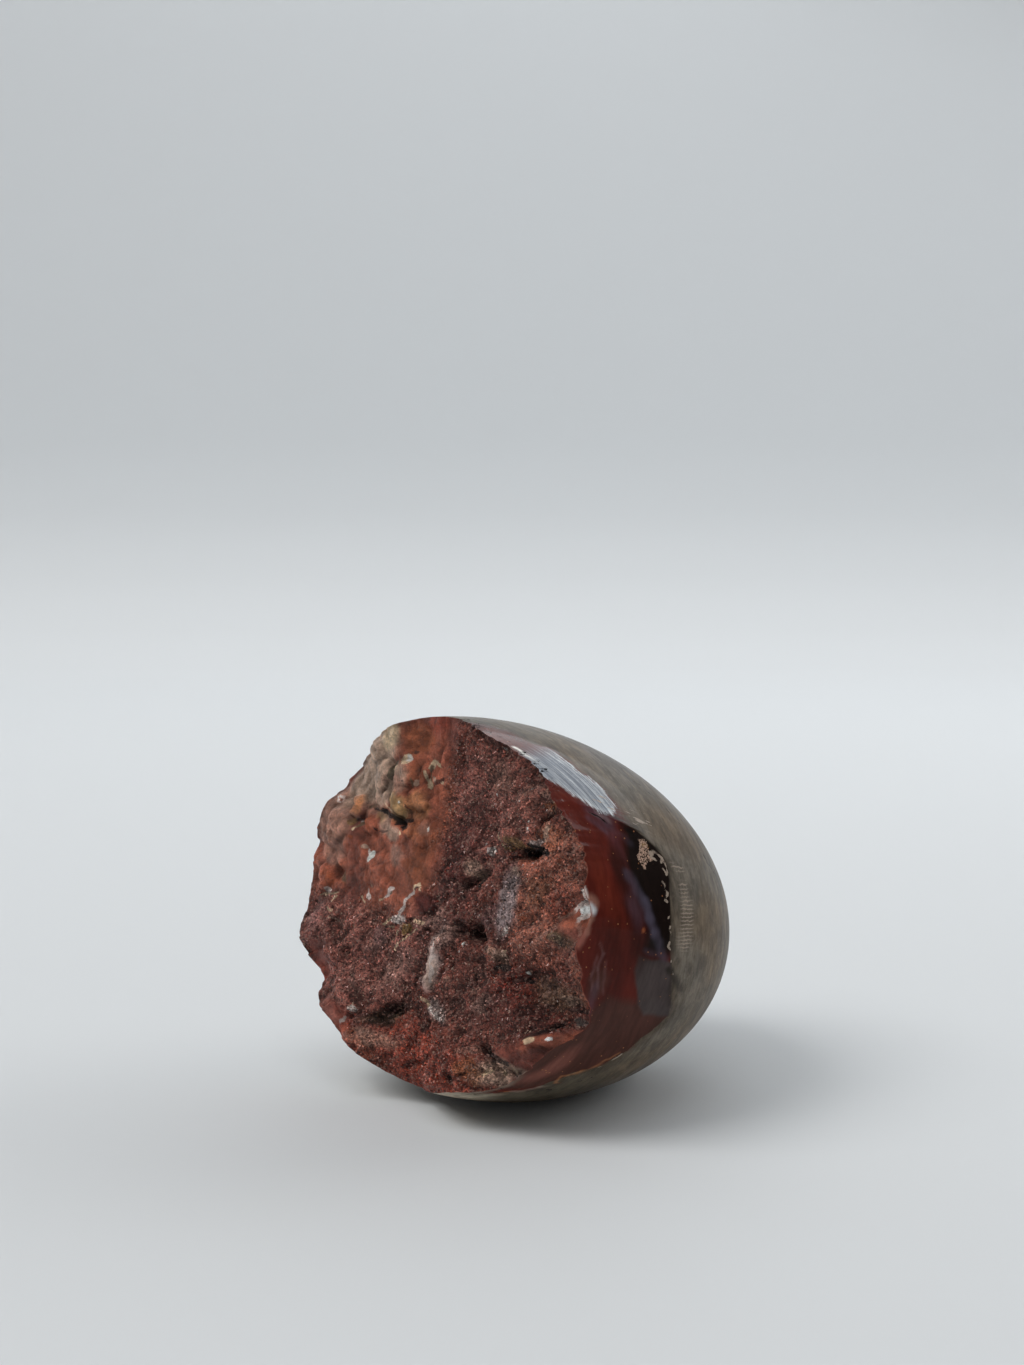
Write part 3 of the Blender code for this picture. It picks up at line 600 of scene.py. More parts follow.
# Near-black marks are painted shade in holes and under the overhanging chunk; some white and chalk spots are
# painted glints.
# Marks with a crisp, ragged edge: right, up, half length, half width, turn in degrees, colour, strength.
FACE_MARKS = (
    (26.7, 10.1, 1.2, 0.8, -8, "white", 1), (27.3, -7.1, 0.4, 0.3, 34, "white", 1),
    (25.6, -8.2, 0.7, 0.5, 45, "cream", 0.8), (-7.2, -19.3, 0.7, 0.4, -21, "chalk", 0.9),
    (28.9, -4.0, 1.4, 0.5, 5, "mist", 0.8), (21.8, -14.4, 0.8, 0.5, 20, "cream", 0.8),
    (19.5, -15.7, 0.7, 0.5, 50, "cream", 0.8), (23.8, -13.3, 0.6, 0.3, 10, "cream", 0.8),
    (-13.7, 15.4, 0.93, 0.75, 4, "cream", 0.95), (-13.3, 15.7, 0.50, 0.30, -14, "white", 0.8),
    (-8.7, 16.4, 0.93, 0.55, -67, "cream", 0.95), (-8.2, 14.0, 0.89, 0.50, -70, "cream", 0.95),
    (-7.3, 14.7, 0.58, 0.40, -49, "crumb", 0.9), (-8.4, 15.4, 1.01, 0.30, -68, "moss", 0.9),
    (-27.6, 4.5, 0.66, 0.66, -53, "chalk", 0.95), (-27.4, 4.5, 0.33, 0.33, 0, "pink", 0.9),
    (-10.2, 5.9, 0.42, 0.42, -31, "cream", 0.9), (-20.2, 3.5, 0.52, 0.40, -7, "chalk", 0.8),
    (-22.1, 3.0, 0.60, 0.60, -45, "gold", 0.7), (-15.1, 0.6, 0.61, 0.50, -49, "white", 0.95),
    (-15.9, 0.8, 0.71, 0.30, -14, "chalk", 0.9), (-18.5, 7.8, 0.22, 0.22, -45, "hole_shade", 0.9),
    (-16.8, 8.8, 0.22, 0.22, -27, "hole_shade", 0.9), (-12.2, 12.6, 0.22, 0.22, 0, "hole_shade", 0.9),
    (-13.2, 10.4, 0.55, 0.25, -58, "cream", 0.7), (-10.3, 13.2, 0.52, 0.40, -7, "crumb", 0.8),
    (-20.6, 8.7, 0.44, 0.30, -45, "cream", 0.8), (-4.9, 8.4, 0.36, 0.30, -22, "white", 0.8),
    (-16.5, 4.0, 0.25, 0.22, -34, "hole_shade", 0.9), (-20.7, 2.3, 0.38, 0.30, -31, "cream", 0.9),
    (-10.7, 10.0, 0.22, 0.20, -18, "white", 0.8), (-15.2, 0.2, 1.02, 0.45, 74, "white", 0.95),
    (-17.3, 1.0, 0.59, 0.30, -6, "crumb", 0.9), (-12.7, -4.5, 0.90, 0.40, -45, "chalk", 0.85),
    (-12.8, -3.2, 0.28, 0.28, 0, "crumb", 0.8), (-8.3, -2.2, 1.02, 0.50, 66, "chalk", 0.9),
    (-7.8, -2.2, 0.24, 0.20, -34, "moss", 0.8), (-5.0, -4.9, 1.78, 0.65, 28, "chalk", 0.9),
    (-5.2, -5.0, 0.40, 0.28, 39, "white", 0.8), (-2.9, -5.4, 1.22, 0.75, 49, "gold", 0.95),
    (-22.6, -7.8, 0.84, 0.50, 30, "chalk", 0.8), (-14.3, -11.8, 0.21, 0.20, 0, "white", 0.9),
    (-17.5, -17.1, 0.16, 0.16, 0, "white", 0.9), (4.0, -8.7, 0.90, 0.40, 81, "chalk", 0.7),
    (7.2, -8.2, 0.33, 0.28, 0, "pink", 0.9), (-4.3, -8.9, 0.30, 0.30, 0, "cream", 0.6),
    (7.7, 10.3, 0.68, 0.68, -45, "chalk", 0.95), (7.8, 10.7, 0.25, 0.25, 0, "white", 0.9),
    (9.6, -0.3, 1.30, 0.90, 51, "hole_shade", 1), (14.8, 7.1, 0.32, 0.32, -27, "hole_shade", 0.9),
    (12.9, 5.6, 0.26, 0.26, -45, "hole_shade", 0.9), (13.4, 4.5, 0.20, 0.20, -45, "hole_shade", 0.8),
    (19.7, 8.1, 0.36, 0.36, 0, "hole_shade", 0.95), (18.0, 11.0, 0.30, 0.30, -45, "dark", 0.9),
    (19.0, 5.0, 0.30, 0.30, -45, "dark", 0.9), (14.8, 2.0, 0.84, 0.42, 78, "chalk", 0.9),
    (7.7, -2.9, 0.40, 0.34, 0, "white", 0.9), (7.9, -3.0, 0.16, 0.16, -90, "hole_shade", 0.95),
    (7.5, -4.0, 0.22, 0.22, 0, "white", 0.9), (15.7, -0.8, 0.67, 0.45, -22, "crumb", 0.9),
    (15.9, -0.4, 0.24, 0.24, -45, "cream", 0.8), (19.8, -1.5, 0.32, 0.32, -56, "white", 0.85),
    (15.8, -4.5, 0.40, 0.40, 0, "pink", 0.8), (7.3, -8.1, 0.38, 0.38, -27, "pink", 0.9),
    (7.0, -6.8, 0.30, 0.30, -27, "crumb", 0.8), (9.3, -4.7, 0.22, 0.22, 0, "pink", 0.9),
    (11.3, -5.7, 0.36, 0.36, -34, "flesh", 0.7), (9.7, 7.8, 0.30, 0.30, 0, "pink", 0.8),
    (7.9, 3.9, 0.30, 0.30, -34, "pink", 0.8), (7.3, 2.4, 0.14, 0.14, 0, "white", 0.9),
    (4.8, 2.6, 0.40, 0.24, 30, "dark", 0.8), (20.2, 7.2, 0.30, 0.30, 0, "pink_tan", 0.8),
    (25.2, 5.7, 0.25, 0.25, -18, "cream", 0.7), (15.3, 19.6, 0.60, 0.60, 0, "orange_lit", 0.95),
    (14.1, 20.8, 0.42, 0.42, -45, "pink", 0.9), (16.3, 19.6, 0.22, 0.22, 27, "orange_lit", 0.9),
    (14.1, 12.8, 1.26, 0.62, 28, "hole_shade", 1), (14.4, 16.9, 0.22, 0.22, -45, "white", 0.95),
    (14.4, 15.9, 0.34, 0.30, -11, "white", 0.95), (11.2, 18.6, 0.20, 0.20, 0, "white", 0.9),
    (12.5, 19.3, 0.20, 0.20, 0, "chalk", 0.9), (12.1, 20.7, 0.22, 0.22, -27, "white", 0.9),
    (15.3, 14.4, 0.58, 0.42, 0, "crumb", 0.9), (13.6, 13.2, 0.40, 0.40, -11, "tan_olive", 0.9),
    (4.0, 23.4, 0.25, 0.25, -27, "chalk", 0.9), (5.3, 17.4, 0.16, 0.16, 0, "white", 0.9),
    (4.8, 15.5, 0.14, 0.14, 0, "white", 0.9), (6.1, 10.7, 0.20, 0.20, 0, "chalk", 0.9),
    (16.1, 20.2, 0.41, 0.20, 8, "pink", 0.6),
)
# Near-black cracks and slits are painted shade.
# Veins and cracks: from right, up, to right, up, half width, colour, strength.
FACE_VEINS = (
    (26.1, 11.1, 25.1, 12.4, 0.22, "chalk", 0.9), (26.1, 11.1, 24.8, 9.1, 0.32, "chalk", 0.85),
    (24.8, 9.1, 23.6, 7.5, 0.30, "pink", 0.8), (26.2, 8.3, 27.8, 7.2, 0.30, "flesh", 0.5),
    (27.0, 9.6, 26.1, 8.7, 0.30, "chalk", 0.8), (3.8, -4.6, 3.5, -7.7, 0.30, "chalk", 0.6),
    (3.5, -7.7, 4.1, -9.8, 0.30, "chalk", 0.6), (4.0, -12.5, 6.2, -12.9, 0.26, "cream", 0.6),
    (6.2, -12.9, 9.1, -13.4, 0.30, "chalk", 0.7), (-8.8, -22.0, -8.0, -21.1, 0.30, "chalk", 0.8),
    (18.1, -13.4, 22.7, -12.8, 0.40, "hole_shade", 0.9), (24.4, -8.5, 25.7, -6.7, 0.35, "hole_shade", 0.8),
    (25.7, -6.7, 26.9, -5.4, 0.30, "dark", 0.8), (26.7, -3.3, 29.7, -2.1, 0.28, "dark", 0.9),
    (15.2, -2.7, 16.8, -2.2, 0.40, "hole_shade", 0.8), (14.3, -15.1, 16.9, -13.7, 0.50, "flesh", 0.5),
    (11.6, -8.0, 13.5, -6.6, 0.40, "flesh", 0.6), (19.2, -2.7, 20.6, -2.3, 0.30, "hole_shade", 0.8),
    (14.4, -19.0, 14.9, -18.8, 0.50, "hole_shade", 0.9),
    (-14.9, 14.5, -16.5, 13.5, 0.35, "moss", 0.9), (-16.5, 13.5, -16.5, 11.8, 0.50, "moss", 0.9),
    (-14.7, 14.1, -16.0, 13.1, 0.14, "cream", 0.9), (-8.3, 17.1, -7.3, 16.7, 0.20, "cream", 0.9),
    (-9.6, 15.3, -8.7, 13.6, 0.18, "cream", 0.9), (-6.7, 14.8, -5.5, 15.0, 0.20, "cream", 0.9),
    (-7.2, 14.1, -5.7, 15.5, 0.25, "hole_shade", 0.8), (-18.7, 6.2, -15.6, 7.1, 0.22, "hole_shade", 0.9),
    (-15.6, 7.1, -13.1, 7.2, 0.40, "hole_shade", 0.95), (-13.1, 7.2, -11.6, 6.8, 0.30, "hole_shade", 0.9),
    (-11.6, 6.8, -8.3, 8.3, 0.34, "hole_shade", 0.95), (-10.3, 7.0, -9.0, 7.0, 0.50, "hole_shade", 0.95),
    (-21.6, 3.5, -19.9, 4.4, 0.22, "dark", 0.9), (-20.4, 2.9, -19.8, 3.9, 0.30, "moss", 0.8),
    (-20.1, 6.0, -18.5, 6.9, 0.30, "moss", 0.6), (-9.8, 10.0, -8.7, 8.6, 0.16, "dark", 0.7),
    (-15.4, 8.3, -13.5, 7.8, 0.14, "cream", 0.8), (-11.2, 13.4, -10.4, 12.0, 0.20, "moss", 0.7),
    (-13.1, 16.8, -12.6, 16.9, 0.25, "dark", 0.8), (-15.3, 4.0, -13.3, 4.8, 0.16, "dark", 0.7),
    (-21.9, 0.9, -20.4, 1.1, 0.25, "orange_deep", 0.8), (-2.8, 1.3, -3.7, -0.0, 0.24, "cream", 0.9),
    (-2.5, 1.2, -2.4, 0.5, 0.18, "cream", 0.9), (-2.8, 0.8, -3.3, 0.1, 0.14, "dark", 0.9),
    (-3.6, -0.3, -4.6, -1.9, 0.20, "chalk", 0.9), (-4.6, -1.9, -4.7, -3.4, 0.26, "chalk", 0.95),
    (-4.7, -3.4, -5.2, -4.7, 0.34, "chalk", 0.95), (-7.7, -6.8, -6.8, -5.6, 0.24, "cream", 0.9),
    (-7.3, -6.8, -5.8, -6.4, 0.14, "cream", 0.8), (-2.1, -3.7, 0.0, -3.3, 0.26, "cream", 0.7),
    (-5.0, -8.0, -4.0, -5.3, 0.16, "cream", 0.85), (-4.3, -8.9, -2.6, -6.8, 0.15, "cream", 0.85),
    (-2.6, -6.8, -0.7, -4.4, 0.15, "cream", 0.85), (-7.1, -6.9, -6.7, -6.6, 0.20, "hole_shade", 0.8),
    (-24.2, -9.1, -19.7, -7.2, 0.16, "cream", 0.8), (-20.1, -9.1, -18.6, -9.5, 0.22, "cream", 0.85),
    (-19.5, -7.6, -19.8, -8.8, 0.16, "cream", 0.8), (-18.4, -10.4, -17.0, -10.3, 0.20, "crumb", 0.8),
    (-9.9, -4.1, -8.8, -3.3, 0.14, "cream", 0.8), (-14.3, -5.4, -12.9, -5.7, 0.20, "cream", 0.8),
    (6.6, 4.9, 8.0, 7.3, 0.22, "hole_shade", 1), (14.8, -3.1, 16.5, -2.1, 0.30, "hole_shade", 0.95),
    (15.9, 2.7, 16.0, 3.7, 0.20, "hole_shade", 0.8),
    (3.5, -7.9, 4.1, -6.1, 0.25, "chalk", 0.6), (16.0, 12.5, 15.3, 10.4, 0.12, "dark", 0.7),
    (16.2, 17.5, 16.5, 19.3, 0.20, "hole_shade", 0.95), (15.5, 15.6, 15.7, 16.8, 0.15, "hole_shade", 0.9),
    (15.5, 15.6, 15.9, 14.2, 0.14, "dark", 0.9), (7.5, 12.8, 9.9, 11.6, 0.20, "cream", 0.85),
    (9.9, 11.6, 11.5, 12.1, 0.20, "gold", 0.8), (12.3, 22.2, 12.5, 21.6, 0.14, "pink", 0.7),
    (16.2, 20.6, 16.1, 19.1, 0.34, "orange_lit", 0.8), (16.1, 19.1, 16.6, 16.8, 0.34, "pink_tan", 0.8),
    (16.6, 16.8, 16.4, 15.3, 0.42, "crumb", 0.9), (16.4, 15.3, 15.0, 14.3, 0.26, "chalk", 0.8),
    (14.6, 13.6, 17.4, 14.0, 0.55, "hole_shade", 1), (12.9, 12.4, 14.8, 12.7, 0.45, "hole_shade", 0.9),
    (17.2, 17.6, 17.6, 20.0, 0.16, "dark", 0.8),
)


def mix(colour, other, share):
    return colour + (other - colour) * share[:, None]


def paint_face(right, up):
    """Ground colour of the raw face, the colour of its marks, and how marked each place is."""
    bent_right = right + 0.8 * waves(2.6, right, up, 61.0) + 0.3 * waves(0.8, right, up, 62.0)
    bent_up = up + 0.8 * waves(2.6, right, up, 63.0) + 0.3 * waves(0.8, right, up, 64.0)
    ground = np.tile(np.array(PALETTE["sugar_red"]), (len(right), 1))
    for patch in FACE_PATCHES:
        softness = patch[7]
        distance = np.sqrt(reach(bent_right, bent_up, patch))
        share = patch[6] * (1.0 - smoothstep(1.0 - softness, 1.0 + softness * 0.6, distance))
        ground = mix(ground, np.array(PALETTE[patch[5]]), share)
    cloud = 1.0 + 0.24 * waves(3.0, right, up, 71.0) + 0.24 * waves(1.2, right, up, 72.0)
    ground *= cloud[:, None]
    line_right = right + 0.22 * waves(1.1, right, up, 65.0)
    line_up = up + 0.22 * waves(1.1, right, up, 66.0)
    marked = ground.copy()
    mark = np.zeros(len(right))
    spots = [(np.sqrt(reach(line_right, line_up, row)), row) for row in FACE_MARKS]
    lines = [(line_distance(line_right, line_up, row) / row[4], row) for row in FACE_VEINS]
    for distance, (*_, name, strength) in spots + lines:
        share = 1.0 - smoothstep(0.4, 1.5, distance)
        own = ground + (np.array(PALETTE[name]) - ground) * strength
        marked = mix(marked, own, smoothstep(0.1, 0.35, share))
        mark = np.maximum(mark, share)
    return ground, marked, mark


print("middle of the face:", paint_face(np.array([0.0]), np.array([0.0]))[0].round(3))

# %% [markdown]
# ## Painting the polish
# The polished side shows the stone's section: a glossy dark red crescent next to the break, a band of blue
# and white agate above it, a black patch with violet haze, and a grey-brown skin beyond. Their places are
# given by the turn round the face in degrees and the height along its axis. Edges that must stay crisp are
# not painted at all: their distance is stored on the mesh, and the finish draws the edge from it.

# %% Outlines on the polish
MEAN_RADIUS = 27.0
TURN_MM = math.radians(MEAN_RADIUS)

BLUE_BAND = (
    (90.0, 9.4), (84.0, 8.2), (81.0, 6.6), (79.5, 4.6), (77.5, 3.9), (74.0, 4.3), (71.5, 3.2), (69.0, 3.5),
    (67.0, 2.3), (65.5, 2.0), (62.5, 0.9), (60.0, 1.2), (57.0, 0.6), (55.0, 1.0), (53.0, 2.2), (54.0, 4.2),
    (55.8, 5.2), (58.0, 6.6), (60.0, 7.6), (63.5, 8.6), (65.5, 9.9), (69.5, 11.0), (76.0, 11.6), (82.0, 12.2),
)
BLACK_GLASS = (
    (51.0, 1.2), (46.5, 1.6), (43.0, 1.9), (39.5, 2.4), (36.0, 2.2), (33.0, 1.7), (30.0, 1.2), (26.5, 0.9),
    (24.0, 0.2), (21.0, -0.2), (18.0, 0.0), (15.0, 0.4), (13.4, 0.8), (12.8, -0.5), (13.0, -4.6),
    (20.0, -8.0),
    (46.0, -8.0), (51.0, -2.6),
)
# Grey patch low on the right of the crescent: a painted reflection of the pale floor in the polish.
FLOOR_REFLECTION_PATCH = (
    (12.6, 0.6), (9.0, 0.8), (3.5, -0.2), (-1.0, -1.5), (-5.5, -3.6), (-6.0, -9.0), (3.0, -8.0), (12.0, -5.8),
)
# Everything on the polish that isn't grey skin: the crescent, the band and the salmon corner above it.
GLASS_OUTLINE = (
    (108.0, 14.0), (101.0, 11.4), (97.0, 9.8), (93.5, 8.4), (89.5, 7.2), (84.0, 7.2), (81.0, 6.0),
    (79.5, 4.2),
    (77.5, 3.5), (74.0, 3.9), (71.5, 2.8), (69.0, 3.1), (67.0, 1.9), (65.5, 1.6), (62.5, 0.5), (60.0, 0.8),
    (57.0, 0.2), (54.5, 0.0), (52.6, 0.6), (50.8, -0.6), (48.0, -2.0), (45.0, -4.0), (42.0, -5.3),
    (38.0, -5.5),
    (30.0, -4.8), (24.0, -4.7), (18.0, -4.5), (12.0, -5.2), (8.0, -6.0), (3.0, -6.9), (0.0, -7.5),
    (-5.0, -8.4),
    (-8.0, -7.4), (-11.0, -6.1), (-13.0, -4.8), (-18.0, -3.5), (-23.0, -1.3), (-25.0, 0.0), (-28.0, 2.8),
    (-32.0, 3.4), (-34.0, 4.3), (-40.0, 5.1), (-45.0, 8.0), (-50.0, 9.4), (-56.0, 14.0),
)
TAN_PATCH = (
    (47.0, -1.2), (44.5, -1.3), (42.0, -0.5), (39.0, -0.7), (38.0, -1.4), (40.5, -2.2), (41.0, -3.4),
    (43.0, -3.1), (44.0, -2.6), (46.0, -2.9), (46.8, -2.1),
)
MAUVE_ZONE = (
    (0.0, 4.4), (-5.0, 6.8), (-10.0, 6.4), (-16.5, 8.4), (-20.0, 11.0), (-31.0, 13.5), (-46.0, 11.0),
    (-36.0, 4.0), (-34.0, 2.0), (-30.5, 1.6), (-27.0, 0.0), (-24.0, -2.2), (-20.5, -3.4), (-17.0, -6.0),
    (-10.5, -9.6), (-5.5, -11.0), (-1.0, -5.0),
)
# White threads and bits of lace: places along each, then its half width.
LACE = (
    (((57.0, -0.9), (53.5, -1.0), (52.0, -1.3), (50.5, -0.6)), 0.10),
    (((50.6, -0.9), (51.0, -1.6), (52.5, -3.0), (52.5, -4.5), (54.0, -5.4), (55.5, -4.9),
    (56.5, -3.8)), 0.20),
    (((52.5, -4.5), (51.6, -5.2), (53.0, -5.8)), 0.12), (((56.5, -2.2), (54.4, -2.0), (52.8, -2.6)), 0.10),
    (((60.5, 3.6), (58.5, 1.2), (56.5, 0.8), (54.0, 1.6), (52.5, 2.6)), 0.12),
    (((58.4, 4.4), (56.6, 2.0), (54.6, 2.4)), 0.10),
    (((43.0, -2.8), (43.6, -3.7), (42.0, -2.9), (41.0, -3.7)), 0.20),
    (((42.8, -4.4), (41.5, -5.2), (40.6, -4.6)), 0.18), (((40.5, -5.2), (38.4, -5.4), (37.0, -5.0)), 0.18),
    (((38.6, -4.6), (37.8, -4.9)), 0.14), (((34.6, -4.0), (33.8, -4.4), (33.2, -4.2)), 0.16),
    (((32.4, -4.2), (31.4, -4.6), (30.6, -4.3)), 0.16), (((29.4, -3.9), (28.8, -4.3)), 0.14),
    (((25.0, -4.5), (24.2, -4.2)), 0.14), (((22.2, -4.6), (21.0, -4.3), (20.2, -4.7)), 0.12),
    (((17.6, -4.5), (16.2, -4.3), (15.4, -4.8)), 0.14), (((14.4, -5.2), (13.2, -5.6), (12.0, -5.3)), 0.14),
    (((9.0, -6.0), (8.0, -6.4)), 0.12), (((-26.0, -0.6), (-22.0, -2.2), (-19.0, -3.2)), 0.10),
)
# Dark cracks in the skin.
CRACKS = (
    (((73.5, -9.3), (70.6, -8.7), (69.4, -9.9), (68.4, -10.2), (66.0, -10.8)), 0.20),
    (((62.0, -12.6), (59.0, -13.6), (56.5, -15.0), (54.5, -16.4)), 0.14),
    (((86.5, -4.4), (85.5, -5.4), (84.0, -6.4)), 0.10),
    (((98.0, -1.6), (96.6, -3.0), (95.6, -3.6)), 0.10), (((80.0, -7.4), (77.6, -8.0), (76.4, -9.4)), 0.12),
    (((70.6, -8.7), (69.8, -7.6), (68.0, -7.2)), 0.08), (((46.0, -19.4), (45.4, -17.6), (43.4, -17.0)), 0.10),
    (((59.0, -13.6), (58.4, -12.2), (57.2, -11.6)), 0.08),
    (((-40.0, 2.4), (-36.0, 0.0), (-33.6, -0.4)), 0.14),
    (((-44.0, 4.0), (-40.6, 2.2), (-38.0, 3.0)), 0.12),
    (((50.0, -17.6), (46.0, -19.4), (42.0, -21.4)), 0.20),
    (((-34.0, 0.6), (-31.0, -1.6), (-29.6, -2.2), (-27.0, -3.6)), 0.16),
    (((54.0, 6.2), (52.5, 4.6), (50.6, 3.6)), 0.10),
)
# Strokes under the polish: from turn, height, to turn, height, half width, colour, strength.
POLISH_STROKES = (
    (36.0, 2.2, 29.0, -0.1, 0.80, "violet", 0.45), (29.0, -0.2, 24.0, -0.9, 0.80, "violet", 0.75),
    (24.0, -0.9, 19.5, -1.9, 0.75, "violet", 0.55), (19.5, -1.9, 13.6, -3.6, 0.70, "violet", 0.4),
    (14.4, -0.6, 13.0, -4.4, 0.50, "violet", 0.2), (55.0, 5.8, 51.5, 3.2, 1.00, "violet", 0.35),
    (54.0, 4.6, 51.4, 3.0, 0.30, "blue_grey", 0.3), (52.0, 6.6, 48.4, 4.2, 0.50, "violet", 0.3),
    (50.2, 3.4, 45.4, 0.2, 0.60, "violet", 0.15),
    (53.6, 2.4, 51.0, 1.2, 0.30, "black", 0.9), (49.8, 0.4, 48.2, -0.4, 0.40, "black", 0.9),
    (79.5, 10.3, 72.5, 9.5, 0.30, "white", 0.9), (76.0, 9.2, 71.0, 8.6, 0.18, "band_white", 0.9),
    (61.2, 9.5, 58.4, 8.5, 0.22, "salmon", 0.9), (60.0, 9.9, 57.4, 9.2, 0.18, "salmon", 0.8),
    (51.2, 8.3, 49.6, 7.4, 0.20, "salmon", 0.8), (2.5, 6.5, 8.0, 7.4, 0.30, "lavender", 0.22),
    (8.0, 7.4, 12.5, 6.6, 0.30, "lavender", 0.25), (12.5, 6.6, 15.5, 7.6, 0.26, "lavender", 0.22),
    (2.0, 7.6, 6.0, 8.3, 0.26, "lavender", 0.2), (6.0, 8.3, 11.5, 7.6, 0.26, "lavender", 0.25),
    (-6.0, 7.4, 3.0, 7.0, 0.80, "violet", 0.25), (1.0, 5.4, 10.0, 6.2, 0.30, "lavender", 0.15),
    (9.6, -5.2, 7.0, -6.9, 0.55, "soot", 0.9), (7.0, -6.9, 3.6, -9.0, 0.60, "soot", 0.8),
    (6.0, -6.4, -1.0, -7.4, 0.55, "soot", 0.5), (-34.0, 3.2, -30.5, 3.6, 0.22, "tan_orange", 0.7),
    (-30.5, 3.6, -26.6, 1.4, 0.20, "tan_orange", 0.6), (-26.5, 0.9, -18.5, -2.7, 0.18, "tan_orange", 0.5),
    (-47.0, 8.3, -43.0, 7.2, 0.22, "tan_orange", 0.6), (-43.0, 7.2, -36.0, 4.0, 0.20, "lace", 0.5),
    # The white spot at the rim near 25 to 30 degrees is partly a painted glint.
    (30.4, 10.4, 27.8, 10.1, 0.30, "chalk", 0.9), (25.4, 9.5, 24.2, 9.2, 0.55, "band_white", 1.0),
    (27.0, 10.2, 22.0, 9.6, 0.60, "pink", 0.7), (21.5, 9.8, 18.0, 10.0, 0.50, "pink", 0.5),
)
# Ribbed patches of the skin: from turn, height, to turn, height, half width.
RIBS = (
    (39.6, -7.3, 39.6, -9.2, 0.55), (34.0, -8.6, 28.0, -8.8, 0.9), (28.0, -8.8, 18.0, -8.0, 1.5),
)
# Middle line of the blue band, along which its threads run: from turn, height, to turn, height.
BAND_LINE = (90.0, 8.2, 54.0, 2.4)


def flat_outline(outline):
    """Turns in degrees become millimetres round the stone."""
    return tuple((turn * TURN_MM, height) for turn, height in outline)


def thread_inside(threads, around, height):
    """How far inside the nearest thread each place is; negative outside."""
    best = np.full(around.shape, -9.0)
    for places, half_width in threads:
        for (turn0, height0), (turn1, height1) in zip(places, places[1:]):
            line = (turn0 * TURN_MM, height0, turn1 * TURN_MM, height1)
            best = np.maximum(best, half_width - line_distance(around, height, line))
    return best


print(len(LACE), "threads and", len(CRACKS), "cracks on the polish")

# %% Washes of the polish
# Washes: turn, height, half size round the stone in mm, half size along its axis, turn of the wash, colour,
# strength, softness.
POLISH_WASHES = (
    (32.0, 6.6, 8.0, 2.0, 20.0, "gem_bright", 0.6, 0.7),
    (10.0, 5.0, 8.0, 3.6, 0.0, "gem_dark", 0.5, 0.6),
    (24.0, 1.8, 8.0, 1.8, 12.0, "gem_dark", 0.7, 0.6),
    (60.0, 11.0, 6.0, 1.8, -25.0, "gem_red", 1.0, 0.3),
    (50.0, 7.0, 5.0, 2.6, -25.0, "gem_red", 0.8, 0.5),
    (100.0, 10.4, 11.0, 2.6, -8.0, "salmon", 0.95, 0.5),
    (84.0, 10.6, 4.0, 1.6, -8.0, "salmon", 0.7, 0.6),
    (112.0, 7.2, 12.0, 4.0, 0.0, "mist", 0.8, 0.5),
    (-44.0, 10.4, 5.0, 1.5, -12.0, "lip", 0.9, 0.5),
    (-58.0, 10.6, 6.0, 2.4, -5.0, "lip", 1.0, 0.4),
    (-27.0, 6.4, 5.0, 1.6, -20.0, "flesh_red", 0.35, 0.6),
    (48.0, 3.6, 4.0, 1.2, 18.0, "violet", 0.2, 0.8),
    (38.0, 3.4, 3.0, 1.4, 10.0, "gem_dark", 0.8, 0.6),
    (16.5, 10.8, 1.8, 0.9, 0.0, "flesh_red", 0.8, 0.5),
    (26.0, 1.6, 3.0, 1.2, 12.0, "violet", 0.25, 0.8),
    (94.0, 5.2, 6.0, 3.0, 10.0, "mist", 0.6, 0.5),
    (26.6, 9.4, 1.4, 1.2, 0.0, "pink", 0.6, 0.5),
    (4.0, 6.8, 2.4, 2.0, 0.0, "mauve", 0.6, 0.6),
    (20.5, 0.1, 0.45, 0.35, 0.0, "orange", 0.9, 0.5),
    (45.0, -2.1, 0.45, 0.4, 0.0, "gold", 0.8, 0.4),
)


# Zones, in order: outline, colour, strength, softness of the edge in millimetres.
POLISH_ZONES = (
    (MAUVE_ZONE, "mauve", 0.9, 0.7), (FLOOR_REFLECTION_PATCH, "reflection_and_thread_grey", 0.95, 0.35),
    (BLACK_GLASS, "black", 0.98, 1.5),
)


